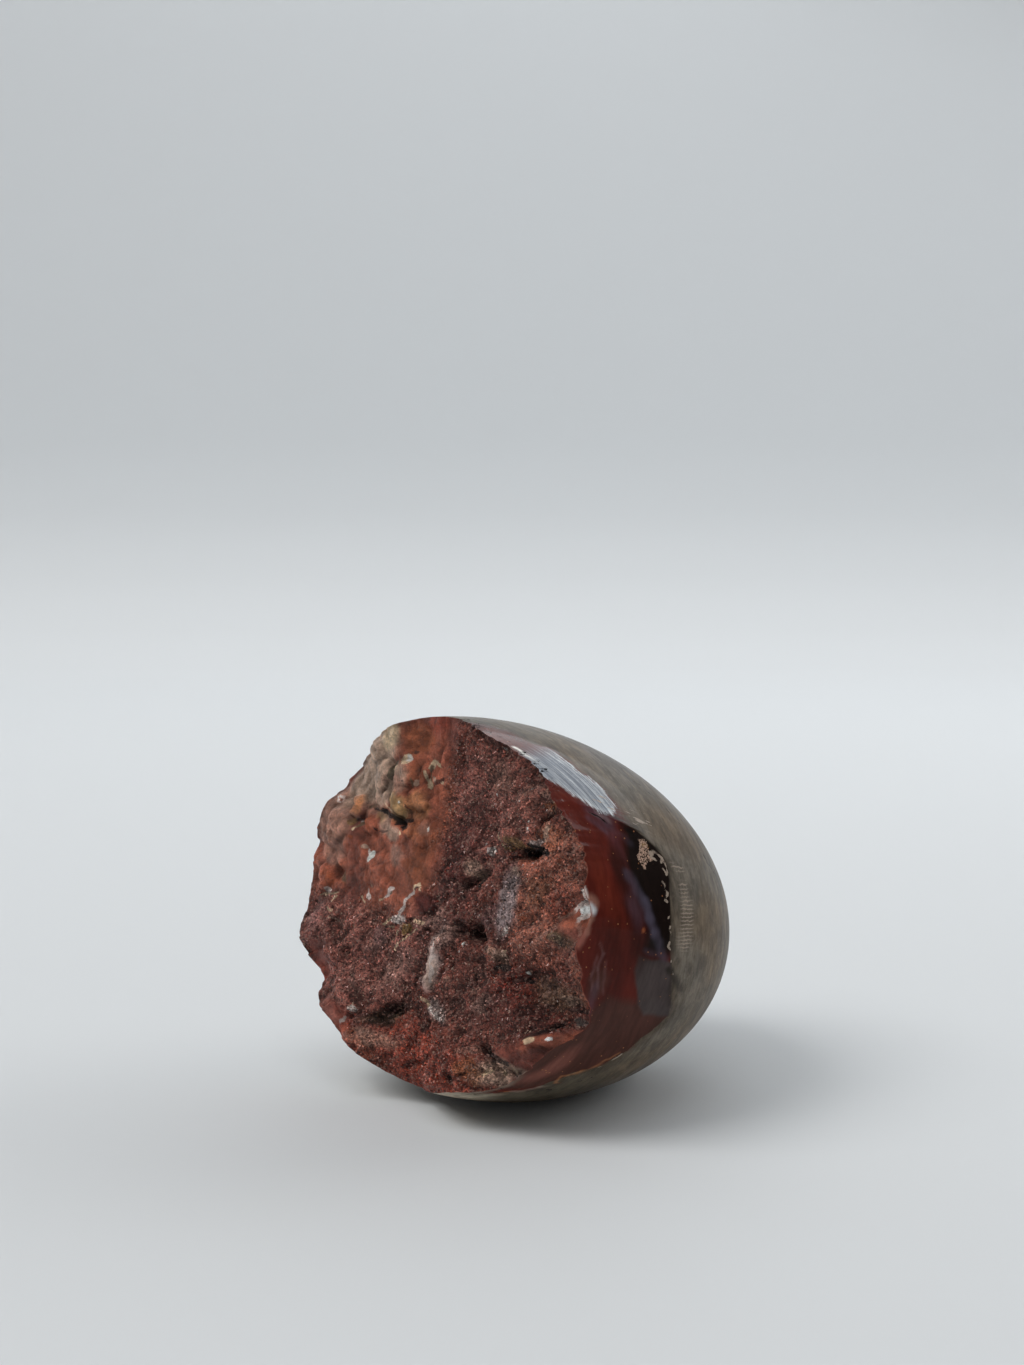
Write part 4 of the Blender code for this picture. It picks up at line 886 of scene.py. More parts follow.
def paint_polish(turn, height):
    """Base colour of the polish before its crisp edges, one row per place."""
    degrees = degrees_between(np.degrees(turn), 0.0)
    flat_right = np.cos(turn) * MEAN_RADIUS
    flat_up = np.sin(turn) * MEAN_RADIUS
    around = degrees * TURN_MM + 0.7 * waves(3.0, flat_right, flat_up, height)
    along = height + 0.5 * waves(2.6, flat_up, flat_right, height + 50.0)
    colour = np.tile(np.array(PALETTE["gem_red"]), (len(turn), 1))
    for outline, name, strength, softness in POLISH_ZONES:
        share = strength * smoothstep(-softness, softness, inside(flat_outline(outline), around, along))
        colour = mix(colour, np.array(PALETTE[name]), share)
    for wash in POLISH_WASHES:
        place = (wash[0] * TURN_MM,) + wash[1:5]
        distance = np.sqrt(reach(around, along, place))
        share = wash[6] * (1.0 - smoothstep(1.0 - wash[7], 1.0 + wash[7] * 0.6, distance))
        colour = mix(colour, np.array(PALETTE[wash[5]]), share)
    line_around = degrees * TURN_MM + 0.3 * waves(1.2, flat_right, flat_up, height)
    line_along = height + 0.3 * waves(1.2, flat_up, flat_right, height + 50.0)
    glass = inside(flat_outline(GLASS_OUTLINE), degrees * TURN_MM, height)
    streaks = waves(1.0, flat_right * 0.16, flat_up * 0.16, height * 0.9)
    patches = waves(9.0, flat_right, flat_up, height)
    skin = mix(np.tile(np.array(PALETTE["skin"]), (len(turn), 1)), np.array(PALETTE["skin_brown"]),
               smoothstep(-0.3, 0.5, patches))
    misty = smoothstep(62.0, 84.0, degrees) * smoothstep(-1.5, -4.5, height) * 0.7
    skin = mix(skin, np.array(PALETTE["mist"]), misty)
    fringe = smoothstep(2.0, 0.3, -glass + 0.8 * waves(1.6, flat_right, flat_up, height)) * 0.75
    dark = np.maximum(fringe, smoothstep(0.05, 0.6, streaks) * 0.45)
    skin = mix(skin, np.array(PALETTE["skin_dark"]), dark)
    low = smoothstep(-8.0, -20.0, degrees) * smoothstep(-60.0, -48.0, degrees)
    low *= smoothstep(-9.0, 0.0, height)
    skin = mix(skin, np.array(PALETTE["olive"]), low * 0.8)
    # Painted light: the underside next to the rim is made paler, for the light the floor throws up on it.
    under = smoothstep(-40.0, -58.0, degrees) * smoothstep(-130.0, -110.0, degrees)
    under *= smoothstep(4.0, 9.0, height)
    skin = mix(skin, np.array(PALETTE["bounce_lit_skin"]), under * 0.9)
    colour = mix(skin, colour, smoothstep(-0.12, 0.12, glass))
    for stroke in POLISH_STROKES:
        line = (stroke[0] * TURN_MM, stroke[1], stroke[2] * TURN_MM, stroke[3])
        distance = line_distance(line_around, line_along, line)
        share = stroke[6] * (1.0 - smoothstep(0.1 * stroke[4], 1.6 * stroke[4], distance))
        colour = mix(colour, np.array(PALETTE[stroke[5]]), share)
    return colour


print("crescent and skin:", paint_polish(np.array([0.3, 0.3]), np.array([4.0, -12.0])).round(3).tolist())

# %% [markdown]
# ## One mesh for the whole stone
# A cube's surface can be stretched over the whole stone without a pole. Its top and the upper half of its
# sides become the raw face. The lower half and the first rows of the bottom become the crescent, and the
# rest of the bottom closes the far end. Rings of quads follow the rim and the ridge, so the edge between
# broken and polished stone stays sharp.

# %% Subdivided cube wrapped over the stone
SIDE_QUADS = 128
RIM_RING = 128
RIDGE_RING = 200
LAST_RING = 2 * SIDE_QUADS
CROWDED_TURN = math.radians(26.0)
CROWDING = 0.42

shape = bmesh.new()
bmesh.ops.create_cube(shape, size=2.0)
bmesh.ops.subdivide_edges(shape, edges=shape.edges[:], cuts=SIDE_QUADS - 1, use_grid_fill=True)
stone_mesh = bpy.data.meshes.new("chalcedony")
shape.to_mesh(stone_mesh)
shape.free()
corners = np.empty(len(stone_mesh.vertices) * 3, np.float32)
stone_mesh.vertices.foreach_get("co", corners)
corners = corners.reshape(-1, 3).astype(float)


def ring_and_turn(corner):
    """Ring number, from the middle of the cube's top to the middle of its bottom, and the turn round it."""
    x, y, z = corner.T
    half = SIDE_QUADS / 2.0
    edge = np.maximum(np.abs(x), np.abs(y))
    on_lid = edge < 1.0 - 1e-5
    lid_ring = np.where(z > 0.0, edge * half, LAST_RING - edge * half)
    ring = np.where(on_lid, lid_ring, half + (1.0 - z) * half)
    wide = np.abs(x) >= np.abs(y)
    across = np.where(wide, x, y)
    across = np.where(np.abs(across) < 1e-9, 1e-9, across)
    lean = np.where(wide, y, x) / across
    turn = np.where(wide, math.pi / 4.0 * lean + np.where(x < 0.0, math.pi, 0.0),
                    math.pi / 2.0 - math.pi / 4.0 * lean + np.where(y < 0.0, math.pi, 0.0))
    return ring, turn


ring, turn = ring_and_turn(corners)
on_face = ring <= RIM_RING + 0.01
crowding = CROWDING * smoothstep(RIM_RING, RIDGE_RING, ring)
turn = turn - crowding * np.sin(turn - CROWDED_TURN)
print(len(corners), "points,", int(on_face.sum()), "of them on the raw face")

# %% Place every point
rim = rim_height(turn)
ridge = ridge_height(turn, rim)
right = np.zeros(len(ring))
up = np.zeros(len(ring))
height = np.zeros(len(ring))

share_out = ring / RIM_RING
rim_radius = dome_radius(rim)
right[on_face] = (HALF_WIDTH * rim_radius * np.cos(turn) * share_out)[on_face]
up[on_face] = (HALF_HEIGHT * rim_radius * np.sin(turn) * share_out)[on_face]
height[on_face] = face_height(right[on_face], up[on_face])

on_dome = ~on_face
rim_angle = np.arccos(rim / HALF_LENGTH)
ridge_angle = np.arccos(ridge / HALF_LENGTH)
down_crescent = (ring - RIM_RING) / (RIDGE_RING - RIM_RING)
down_skin = np.clip((ring - RIDGE_RING) / (LAST_RING - RIDGE_RING), 0.0, 1.0)
polar = np.where(ring <= RIDGE_RING, rim_angle + (ridge_angle - rim_angle) * down_crescent,
                 ridge_angle + (math.pi - ridge_angle) * down_skin)
dome_height = HALF_LENGTH * np.cos(polar)
between = (dome_height > ridge) & (dome_height < rim)
flat = CRESCENT_FLATNESS * (dome_height - ridge) * (rim - dome_height) / (2.0 * CRESCENT_RADIUS)
flat = np.where(between, flat, 0.0)
right[on_dome] = ((HALF_WIDTH * np.sin(polar) - flat) * np.cos(turn))[on_dome]
up[on_dome] = ((HALF_HEIGHT * np.sin(polar) - flat) * np.sin(turn))[on_dome]
height[on_dome] = dome_height[on_dome]

axes = np.array([RIGHT_AXIS, UP_AXIS, OUT_AXIS])
places = np.array(CENTRE) + np.stack([right, up, height], axis=1) @ axes
places[:, 2] = np.maximum(places[:, 2], 0.0)
stone_mesh.vertices.foreach_set("co", (places * MM).astype(np.float32).ravel())
stone_mesh.update()
print("stone reaches", places.min(axis=0).round(2), places.max(axis=0).round(2), "mm")

# %% [markdown]
# ## Colours and distances on the mesh
# The finishes read attributes from the mesh: the painted ground, the marks' colour and share, the share of
# sugar, how far each place stands out, the distances to crisp edges, the ribbed patches, the band's own
# directions, and the gloss. Distances blend evenly between points, so an edge drawn from one stays sharp
# however close the camera comes, which a painted edge does not.

# %% Write the attributes
GLOSS_STARTS = 28.0
GLOSS_FULL = 46.0
GLOSS_MOST = 0.24


def store(mesh, name, values):
    """Keeps one number per point on the mesh."""
    mesh.attributes.new(name, "FLOAT", "POINT").data.foreach_set("value", values.astype(np.float32))


def store_colour(mesh, name, colours):
    """Keeps one colour per point on the mesh."""
    full = np.ones((len(colours), 4), np.float32)
    full[:, :3] = np.clip(colours, 0.0, 1.0)
    mesh.color_attributes.new(name, "FLOAT_COLOR", "POINT").data.foreach_set("color", full.ravel())


painted = np.zeros((len(ring), 3))
marked = np.zeros((len(ring), 3))
mark = np.zeros(len(ring))
painted[on_face], marked[on_face], mark[on_face] = paint_face(right[on_face], up[on_face])
painted[on_dome] = paint_polish(turn[on_dome], height[on_dome])
store_colour(stone_mesh, "painted", painted)
store_colour(stone_mesh, "marked", marked)
store(stone_mesh, "mark", mark)

sugar = np.zeros(len(ring))
sugar[on_face] = sugary(right[on_face], up[on_face])
store(stone_mesh, "sugar", sugar)

# The raw finish paints shade in hollows and light on tips from this.
depth = np.zeros(len(ring))
depth[on_face] = stands_out(right[on_face], up[on_face])
store(stone_mesh, "depth", depth)

degrees = degrees_between(np.degrees(turn), 0.0)
around = degrees * TURN_MM
store(stone_mesh, "skin_edge", np.clip(-inside(flat_outline(GLASS_OUTLINE), around, height), -4.0, 4.0))
store(stone_mesh, "band_edge", np.clip(inside(flat_outline(BLUE_BAND), around, height), -4.0, 4.0))
store(stone_mesh, "tan_edge", np.clip(inside(flat_outline(TAN_PATCH), around, height), -4.0, 4.0))
store(stone_mesh, "lace_edge", np.clip(thread_inside(LACE, around, height), -1.0, 1.0))
store(stone_mesh, "crack_edge", np.clip(thread_inside(CRACKS, around, height), -1.0, 1.0))
ribs = np.zeros(len(ring))
for turn0, height0, turn1, height1, half_width in RIBS:
    distance = line_distance(around, height, (turn0 * TURN_MM, height0, turn1 * TURN_MM, height1))
    ribs = np.maximum(ribs, 1.0 - smoothstep(0.6 * half_width, 1.3 * half_width, distance))
store(stone_mesh, "ribs", ribs)
band_run = np.array([(BAND_LINE[0] - BAND_LINE[2]) * TURN_MM, BAND_LINE[1] - BAND_LINE[3]])
band_run /= np.hypot(*band_run)
from_tip = np.stack([around - BAND_LINE[2] * TURN_MM, height - BAND_LINE[3]])
store(stone_mesh, "band_along", np.clip(band_run @ from_tip, -30.0, 30.0))
store(stone_mesh, "band_across", np.clip(band_run[0] * from_tip[1] - band_run[1] * from_tip[0], -30.0, 30.0))
gloss = smoothstep(GLOSS_STARTS, GLOSS_FULL, places[:, 2]) * GLOSS_MOST
store(stone_mesh, "gloss", np.where(on_face, 0.0, gloss))
names = [attribute.name for attribute in stone_mesh.attributes]
print("attributes:", [name for name in names if not name.startswith(".")])

# %% [markdown]
# ## A group for mineral speckle
# The raw face and the quartz points are broken up by the same thing: crystal grains of slightly different
# shades, with seams between them and a chosen few, which the raw face paints as glints in one grain size,
# pale granules in another and pits in a third. A node group makes it once. It works in millimetres along the
# face's own directions and gives out shares only, so each finish mixes its own colour.

# %% Speckle group
def add(tree, kind, place, **settings):
    """A new node at a place on the canvas, with its properties set by name."""
    node = tree.nodes.new(kind)
    node.location = place
    for name, value in settings.items():
        setattr(node, name, value)
    return node


speckle = bpy.data.node_groups.new("mineral_speckle", "ShaderNodeTree")
speckle.interface.new_socket("Place", in_out="INPUT", socket_type="NodeSocketVector")
grain_socket = speckle.interface.new_socket("Grain Size", in_out="INPUT", socket_type="NodeSocketFloat")
grain_socket.default_value = 0.4
chosen_socket = speckle.interface.new_socket("Chosen Above", in_out="INPUT", socket_type="NodeSocketFloat")
chosen_socket.default_value = 0.93
speckle.interface.new_socket("Shade", in_out="OUTPUT", socket_type="NodeSocketFloat")
speckle.interface.new_socket("Glint", in_out="OUTPUT", socket_type="NodeSocketFloat")
speckle.interface.new_socket("Seam", in_out="OUTPUT", socket_type="NodeSocketFloat")

group_in = add(speckle, "NodeGroupInput", (-800, 0))
group_out = add(speckle, "NodeGroupOutput", (600, 0))
one_over = add(speckle, "ShaderNodeMath", (-600, -120), operation="DIVIDE")
one_over.inputs[0].default_value = 1.0
wobble = add(speckle, "ShaderNodeTexNoise", (-600, 160))
wobble.inputs["Scale"].default_value = 2.2
wobble.inputs["Detail"].default_value = 2.0
bend = add(speckle, "ShaderNodeVectorMath", (-400, 100), operation="MULTIPLY_ADD")
bend.inputs[1].default_value = (0.35, 0.35, 0.35)
cells = add(speckle, "ShaderNodeTexVoronoi", (-200, 160))
edges = add(speckle, "ShaderNodeTexVoronoi", (-200, -160), feature="DISTANCE_TO_EDGE")
cell_random = add(speckle, "ShaderNodeSeparateColor", (0, 160))
shade = add(speckle, "ShaderNodeMapRange", (200, 200))
shade.inputs["To Min"].default_value = 0.55
shade.inputs["To Max"].default_value = 1.45
chosen = add(speckle, "ShaderNodeMath", (200, 0), operation="GREATER_THAN")
seam = add(speckle, "ShaderNodeMapRange", (200, -200))
seam.inputs["From Max"].default_value = 0.16
speckle.links.new(group_in.outputs["Grain Size"], one_over.inputs[1])
speckle.links.new(group_in.outputs["Place"], wobble.inputs["Vector"])
speckle.links.new(wobble.outputs["Color"], bend.inputs[0])
speckle.links.new(group_in.outputs["Place"], bend.inputs[2])
speckle.links.new(bend.outputs["Vector"], cells.inputs["Vector"])
speckle.links.new(bend.outputs["Vector"], edges.inputs["Vector"])
speckle.links.new(one_over.outputs["Value"], cells.inputs["Scale"])
speckle.links.new(one_over.outputs["Value"], edges.inputs["Scale"])
speckle.links.new(cells.outputs["Color"], cell_random.inputs["Color"])
speckle.links.new(cell_random.outputs["Red"], shade.inputs["Value"])
speckle.links.new(cell_random.outputs["Green"], chosen.inputs[0])
speckle.links.new(group_in.outputs["Chosen Above"], chosen.inputs[1])
speckle.links.new(edges.outputs["Distance"], seam.inputs["Value"])
speckle.links.new(shade.outputs["Result"], group_out.inputs["Shade"])
speckle.links.new(chosen.outputs["Value"], group_out.inputs["Glint"])
speckle.links.new(seam.outputs["Result"], group_out.inputs["Seam"])
print("speckle group has", len(speckle.nodes), "nodes")


# %% Shared starts of both finishes
def axis_place(tree, place):
    """Object coordinates turned to the face's own directions, in millimetres from the stone's centre."""
    coordinates = add(tree, "ShaderNodeTexCoord", (place[0] - 200, place[1]))
    mapping = add(tree, "ShaderNodeMapping", place, vector_type="TEXTURE")
    turned = Matrix((RIGHT_AXIS, UP_AXIS, OUT_AXIS)).transposed().to_euler()
    mapping.inputs["Location"].default_value = CENTRE * MM
    mapping.inputs["Rotation"].default_value = turned
    mapping.inputs["Scale"].default_value = (MM, MM, MM)
    tree.links.new(coordinates.outputs["Object"], mapping.inputs["Vector"])
    return mapping.outputs["Vector"]


def attribute(tree, name, place):
    return add(tree, "ShaderNodeAttribute", place, attribute_name=name)


def feed(tree, value, socket):
    """Puts a number, a named colour or another node's output into a socket."""
    if isinstance(value, (int, float)):
        socket.default_value = value
    elif isinstance(value, tuple):
        socket.default_value = value + (1.0,)
    else:
        tree.links.new(value, socket)


def number(tree, operation, place, *values):
    """A math node; each value is a number or another node's output."""
    node = add(tree, "ShaderNodeMath", place, operation=operation)
    for socket, value in zip(node.inputs, values):
        feed(tree, value, socket)
    return node.outputs["Value"]


def product(tree, place, total, *factors):
    """Multiplies a value by each factor in turn."""
    for step, factor in enumerate(factors):
        total = number(tree, "MULTIPLY", (place[0] + 160 * step, place[1]), total, factor)
    return total


def scaled(tree, place, colour, factor):
    """A colour made lighter or darker."""
    node = add(tree, "ShaderNodeVectorMath", place, operation="SCALE")
    feed(tree, colour, node.inputs[0])
    feed(tree, factor, node.inputs["Scale"])
    return node.outputs["Vector"]


def spread(tree, place, value, low, high, to_low=0.0, to_high=1.0, smooth=True):
    """Maps low to high onto another range, clamped."""
    node = add(tree, "ShaderNodeMapRange", place)
    node.interpolation_type = "SMOOTHSTEP" if smooth else "LINEAR"
    tree.links.new(value, node.inputs["Value"])
    for socket, amount in zip(("From Min", "From Max", "To Min", "To Max"), (low, high, to_low, to_high)):
        node.inputs[socket].default_value = amount
    return node.outputs["Result"]


def blend(tree, place, share, first, second, mode="MIX"):
    """Mixes two colours; each is a named colour or another node's output."""
    node = add(tree, "ShaderNodeMix", place, data_type="RGBA", blend_type=mode)
    for index, value in ((0, share), (6, first), (7, second)):
        feed(tree, value, node.inputs[index])
    return node.outputs[2]


def blend_numbers(tree, place, share, first, second):
    node = add(tree, "ShaderNodeMix", place, data_type="FLOAT")
    for index, value in ((0, share), (2, first), (3, second)):
        feed(tree, value, node.inputs[index])
    return node.outputs[0]


def bumped(tree, place, shader, height, strength, distance):
    """Tilts the surface by a height; the distance is in millimetres."""
    node = add(tree, "ShaderNodeBump", place)
    node.inputs["Strength"].default_value = strength
    node.inputs["Distance"].default_value = distance * MM
    tree.links.new(height, node.inputs["Height"])
    tree.links.new(node.outputs["Normal"], shader.inputs["Normal"])


def noise_node(tree, place, vector, scale, detail=3.0, roughness=0.55):
    node = add(tree, "ShaderNodeTexNoise", place)
    tree.links.new(vector, node.inputs["Vector"])
    node.inputs["Scale"].default_value = scale
    node.inputs["Detail"].default_value = detail
    node.inputs["Roughness"].default_value = roughness
    return node.outputs["Fac"]


def stretched(tree, place, vector, factors):
    """The same place with each direction scaled by its own factor."""
    node = add(tree, "ShaderNodeVectorMath", place, operation="MULTIPLY")
    tree.links.new(vector, node.inputs[0])
    node.inputs[1].default_value = factors
    return node.outputs["Vector"]


def speckle_node(tree, place, vector, size, chosen_above=0.93):
    node = add(tree, "ShaderNodeGroup", place, node_tree=speckle)
    tree.links.new(vector, node.inputs["Place"])
    node.inputs["Grain Size"].default_value = size
    node.inputs["Chosen Above"].default_value = chosen_above
    return node


def toned(tree, place, total, shade, share=1.0):
    """Multiplies a running tone by a shade around 1; share says how much of the shade is felt."""
    less = number(tree, "SUBTRACT", place, shade, 1.0)
    felt = number(tree, "MULTIPLY_ADD", (place[0] + 160, place[1]), less, share, 1.0)
    return number(tree, "MULTIPLY", (place[0] + 320, place[1]), total, felt)


def turned(tree, place, vector, degrees, sizes):
    """The same place in axes turned about the face's own axis, each measured in its own size."""
    node = add(tree, "ShaderNodeMapping", place, vector_type="TEXTURE")
    tree.links.new(vector, node.inputs["Vector"])
    node.inputs["Rotation"].default_value = (0.0, 0.0, math.radians(degrees))
    node.inputs["Scale"].default_value = sizes
    return node.outputs["Vector"]


print("helpers for nodes are ready")

# %% [markdown]
# ## Finish of the raw face
# Broken chalcedony is neither matt nor glossy: each grain is a tiny mirror turned its own way. Base colour is
# the painted ground with its marks, shaded grain by grain, with painted shade in hollows and painted light on
# tips. Over it lie a combed frost, kept to the tips where it also paints highlights on grain edges, round
# pale granules, small pits painted dark as the shade in them, and painted glints. Bump comes from the same
# grains, so light and colour agree, and roughness changes from grain to grain to give sparkle.

# %% Raw face material
raw = bpy.data.materials.new("raw_broken_face")
raw.use_nodes = True
tree = raw.node_tree
shader = tree.nodes["Principled BSDF"]
shader.location = (1500, 0)
tree.nodes["Material Output"].location = (1800, 0)
here = axis_place(tree, (-1400, 0))
painted_colour = attribute(tree, "painted", (-900, 500)).outputs["Color"]
sugar_share = attribute(tree, "sugar", (-900, 300)).outputs["Fac"]
depth_share = attribute(tree, "depth", (-900, 100)).outputs["Fac"]
coarse = speckle_node(tree, (-900, -100), here, 0.36, 0.68)
small = speckle_node(tree, (-900, -300), here, 0.21, 0.94)
pitted = speckle_node(tree, (-900, -500), here, 0.27, 0.74)
dust = noise_node(tree, (-900, -700), here, 3.0, 6.0, 0.78)
mottle = noise_node(tree, (-900, -900), here, 0.55, 4.0, 0.65)
clumps = noise_node(tree, (-900, -1100), here, 1.1, 4.0, 0.65)
combed = turned(tree, (-1100, -1300), here, 52.0, (1.9, 0.6, 0.8))
frost_noise = noise_node(tree, (-900, -1300), combed, 1.0, 6.0, 0.72)

mark_colour = attribute(tree, "marked", (-900, 700)).outputs["Color"]
mark_share = attribute(tree, "mark", (-900, 900)).outputs["Fac"]
ragged = noise_node(tree, (-900, 1100), here, 2.6, 4.0, 0.75)
mark_bent = number(tree, "MULTIPLY_ADD", (-600, 900), ragged, 1.6, mark_share)
mark_mask = spread(tree, (-400, 900), mark_bent, 1.22, 1.34)
ground_colour = blend(tree, (0, 700), mark_mask, painted_colour, mark_colour)
roughened = number(tree, "MULTIPLY_ADD", (-600, 300), sugar_share, 0.72, 0.28)
relief_shade_felt = number(tree, "MULTIPLY_ADD", (-600, 450), sugar_share, 0.15, 0.85)
total = spread(tree, (-600, -900), mottle, 0.3, 0.7, 0.68, 1.34)
total = toned(tree, (-400, -100), total, small.outputs["Shade"], roughened)
coarse_felt = product(tree, (-600, -200), roughened, 0.75)
total = toned(tree, (-400, -300), total, coarse.outputs["Shade"], coarse_felt)
dust_shade = spread(tree, (-600, -500), dust, 0.34, 0.68, 0.46, 1.56)
total = toned(tree, (-400, -500), total, dust_shade, roughened)
# Painted shade and light: darker in hollows and lighter on tips, by how far each place stands out.
painted_relief_shade = spread(tree, (-600, -700), depth_share, -1.0, 0.9, 0.40, 1.46)
total = toned(tree, (-400, -700), total, painted_relief_shade, relief_shade_felt)
shaded = scaled(tree, (300, 100), ground_colour, total)

# Small pits painted dark, as the shade inside them.
pit_round = spread(tree, (-600, -1000), pitted.outputs["Seam"], 0.15, 0.55)
pit_clumps = spread(tree, (-400, -1150), clumps, 0.66, 0.44)
pit_most = product(tree, (-200, -1150), roughened, 0.85)
pit_share = product(tree, (-400, -1000), pit_round, pitted.outputs["Glint"], pit_clumps, pit_most)
frost_veil = spread(tree, (-600, -1300), frost_noise, 0.52, 0.62)
# The frost is kept to the tips: partly a pale crust, partly a painted highlight on grain edges.
frost_tips = spread(tree, (-400, -1450), depth_share, -0.4, 0.6)
frost_share = product(tree, (-400, -1300), frost_veil, sugar_share, frost_tips, 0.26)
granule_round = spread(tree, (-400, -1600), coarse.outputs["Seam"], 0.10, 0.55)
granule_veil = spread(tree, (-400, -1750), frost_noise, 0.42, 0.60, 0.08, 0.56)
granule = product(tree, (-200, -1600), granule_round, coarse.outputs["Glint"], granule_veil, sugar_share)
frost_share = number(tree, "MAXIMUM", (250, -1300), frost_share, granule)
face_colour = blend(tree, (500, 100), frost_share, shaded, PALETTE["frost"])
face_colour = blend(tree, (700, 100), pit_share, face_colour, PALETTE["dark"])
# Painted glints: a few grains turned to a pale crumb colour.
glint_round = spread(tree, (450, -250), small.outputs["Seam"], 0.10, 0.5)
glint_clumps = spread(tree, (750, -400), clumps, 0.40, 0.62)
painted_glint_share = product(tree, (600, -250), glint_round, small.outputs["Glint"], sugar_share, glint_clumps)
face_colour = blend(tree, (1000, 100), painted_glint_share, face_colour, PALETTE["crumb"])
tree.links.new(face_colour, shader.inputs["Base Color"])

rough_random = spread(tree, (450, -600), small.outputs["Shade"], 0.55, 1.45, 0.30, 0.80, smooth=False)
waxy_rough = spread(tree, (450, -750), mottle, 0.3, 0.7, 0.28, 0.46)
roughness = blend_numbers(tree, (850, -600), sugar_share, waxy_rough, rough_random)
tree.links.new(roughness, shader.inputs["Roughness"])

bump_sum = number(tree, "MULTIPLY_ADD", (450, -900), coarse.outputs["Seam"], 0.8, small.outputs["Seam"])
bump_sum = number(tree, "MULTIPLY_ADD", (600, -900), small.outputs["Shade"], 0.4, bump_sum)
bump_sum = number(tree, "MULTIPLY", (750, -900), bump_sum, roughened)
bump_sum = number(tree, "MULTIPLY_ADD", (900, -900), pit_share, -1.5, bump_sum)
bump_sum = number(tree, "MULTIPLY_ADD", (1050, -900), dust, 2.0, bump_sum)
bumped(tree, (1150, -800), shader, bump_sum, 0.9, 0.20)
shader.inputs["Specular IOR Level"].default_value = 0.38
print("raw face finish:", len(tree.nodes), "nodes")

# %% [markdown]
# ## Finish of the polish
# Under the polish the colours lie in layers. The red is deep and carries small specks and flow lines; the
# band is blue-grey with white threads along it; the skin has faint rings, clouds and scuffs. The glass is
# smooth and the worn skin duller. A clear coat grows towards the top of the stone, where the sheen lies.

# %% Polish material
QUARTZ_IOR = 1.54
GLASS_ROUGHNESS = 0.14

polish = bpy.data.materials.new("polished_side")
polish.use_nodes = True
tree = polish.node_tree
shader = tree.nodes["Principled BSDF"]
shader.location = (2400, 0)
tree.nodes["Material Output"].location = (2700, 0)
here = axis_place(tree, (-1600, 0))
painted_colour = attribute(tree, "painted", (-1000, 600)).outputs["Color"]
edge_noise = noise_node(tree, (-1000, -100), here, 0.9, 4.0, 0.65)
edge_bend = spread(tree, (-800, -100), edge_noise, 0.0, 1.0, -0.9, 0.9, smooth=False)
fine_noise = noise_node(tree, (-1000, -300), here, 4.5, 3.0, 0.6)
fine_bend = spread(tree, (-800, -300), fine_noise, 0.0, 1.0, -0.35, 0.35, smooth=False)
both_bends = number(tree, "ADD", (-600, -200), edge_bend, fine_bend)


def bent_edge(name, place, bend_share):
    """A stored distance, bent by noise."""
    edge = attribute(tree, name, place).outputs["Fac"]
    return number(tree, "MULTIPLY_ADD", (place[0] + 200, place[1]), both_bends, bend_share, edge)


def crisp(name, place, bend_share, softness):
    """A mask from a stored distance, with its edge bent by noise."""
    return spread(tree, (place[0] + 400, place[1]), bent_edge(name, place, bend_share), -softness, softness)


skin_mask = crisp("skin_edge", (-400, 900), 0.5, 0.08)
band_bent = bent_edge("band_edge", (-400, 700), 0.55)
tan_mask = crisp("tan_edge", (-400, 300), 0.5, 0.06)
lace_mask = crisp("lace_edge", (-400, 100), 0.30, 0.05)
crack_mask = crisp("crack_edge", (-400, -100), 0.22, 0.05)
print("crisp edges are ready")

# %% Red glass: flow lines and specks
flow_place = stretched(tree, (-1200, -600), here, (0.35, 0.20, 0.9))
flow = noise_node(tree, (-1000, -600), flow_place, 1.1, 5.0, 0.62)
flow_shade = spread(tree, (-800, -600), flow, 0.30, 0.72, 0.80, 1.20)
speck_cells = add(tree, "ShaderNodeTexVoronoi", (-1000, -1000))
speck_cells.inputs["Scale"].default_value = 1.3
tree.links.new(here, speck_cells.inputs["Vector"])
speck_random = add(tree, "ShaderNodeSeparateColor", (-800, -1000))
tree.links.new(speck_cells.outputs["Color"], speck_random.inputs["Color"])
speck_chosen = number(tree, "GREATER_THAN", (-600, -1000), speck_random.outputs["Green"], 0.50)
speck_size = number(tree, "MULTIPLY", (-600, -1150), speck_random.outputs["Red"], 0.20)
speck_near = number(tree, "LESS_THAN", (-400, -1000), speck_cells.outputs["Distance"], speck_size)
speck_clumps = spread(tree, (-200, -1150), edge_noise, 0.38, 0.60, 0.15, 0.85)
speck_mask = product(tree, (-200, -1000), speck_near, speck_chosen, speck_clumps)
flowing = scaled(tree, (0, 600), painted_colour, flow_shade)
glass_colour = blend(tree, (250, 600), speck_mask, flowing, PALETTE["tan_orange"])
tan_now = product(tree, (650, 300), tan_mask, spread(tree, (450, 300), fine_noise, 0.40, 0.58))
glass_colour = blend(tree, (850, 600), tan_now, glass_colour, PALETTE["crumb"])
print("red glass is layered")

# %% Blue and white band: threads that run along it
band_place = add(tree, "ShaderNodeCombineXYZ", (-600, -1300))
tree.links.new(attribute(tree, "band_along", (-800, -1250)).outputs["Fac"], band_place.inputs["X"])
tree.links.new(attribute(tree, "band_across", (-800, -1400)).outputs["Fac"], band_place.inputs["Y"])
tree.links.new(edge_bend, band_place.inputs["Z"])
thread_place = stretched(tree, (-400, -1300), band_place.outputs["Vector"], (0.07, 1.6, 0.4))
threads = noise_node(tree, (-200, -1300), thread_place, 1.0, 5.0, 0.66)
line_place = stretched(tree, (-400, -1100), band_place.outputs["Vector"], (0.06, 4.2, 0.5))
fine_threads = noise_node(tree, (-200, -1100), line_place, 1.0, 3.0, 0.6)
soft_place = stretched(tree, (-400, -1500), band_place.outputs["Vector"], (0.14, 0.35, 0.2))
soft_cloud = noise_node(tree, (-200, -1500), soft_place, 1.0, 3.0, 0.6)
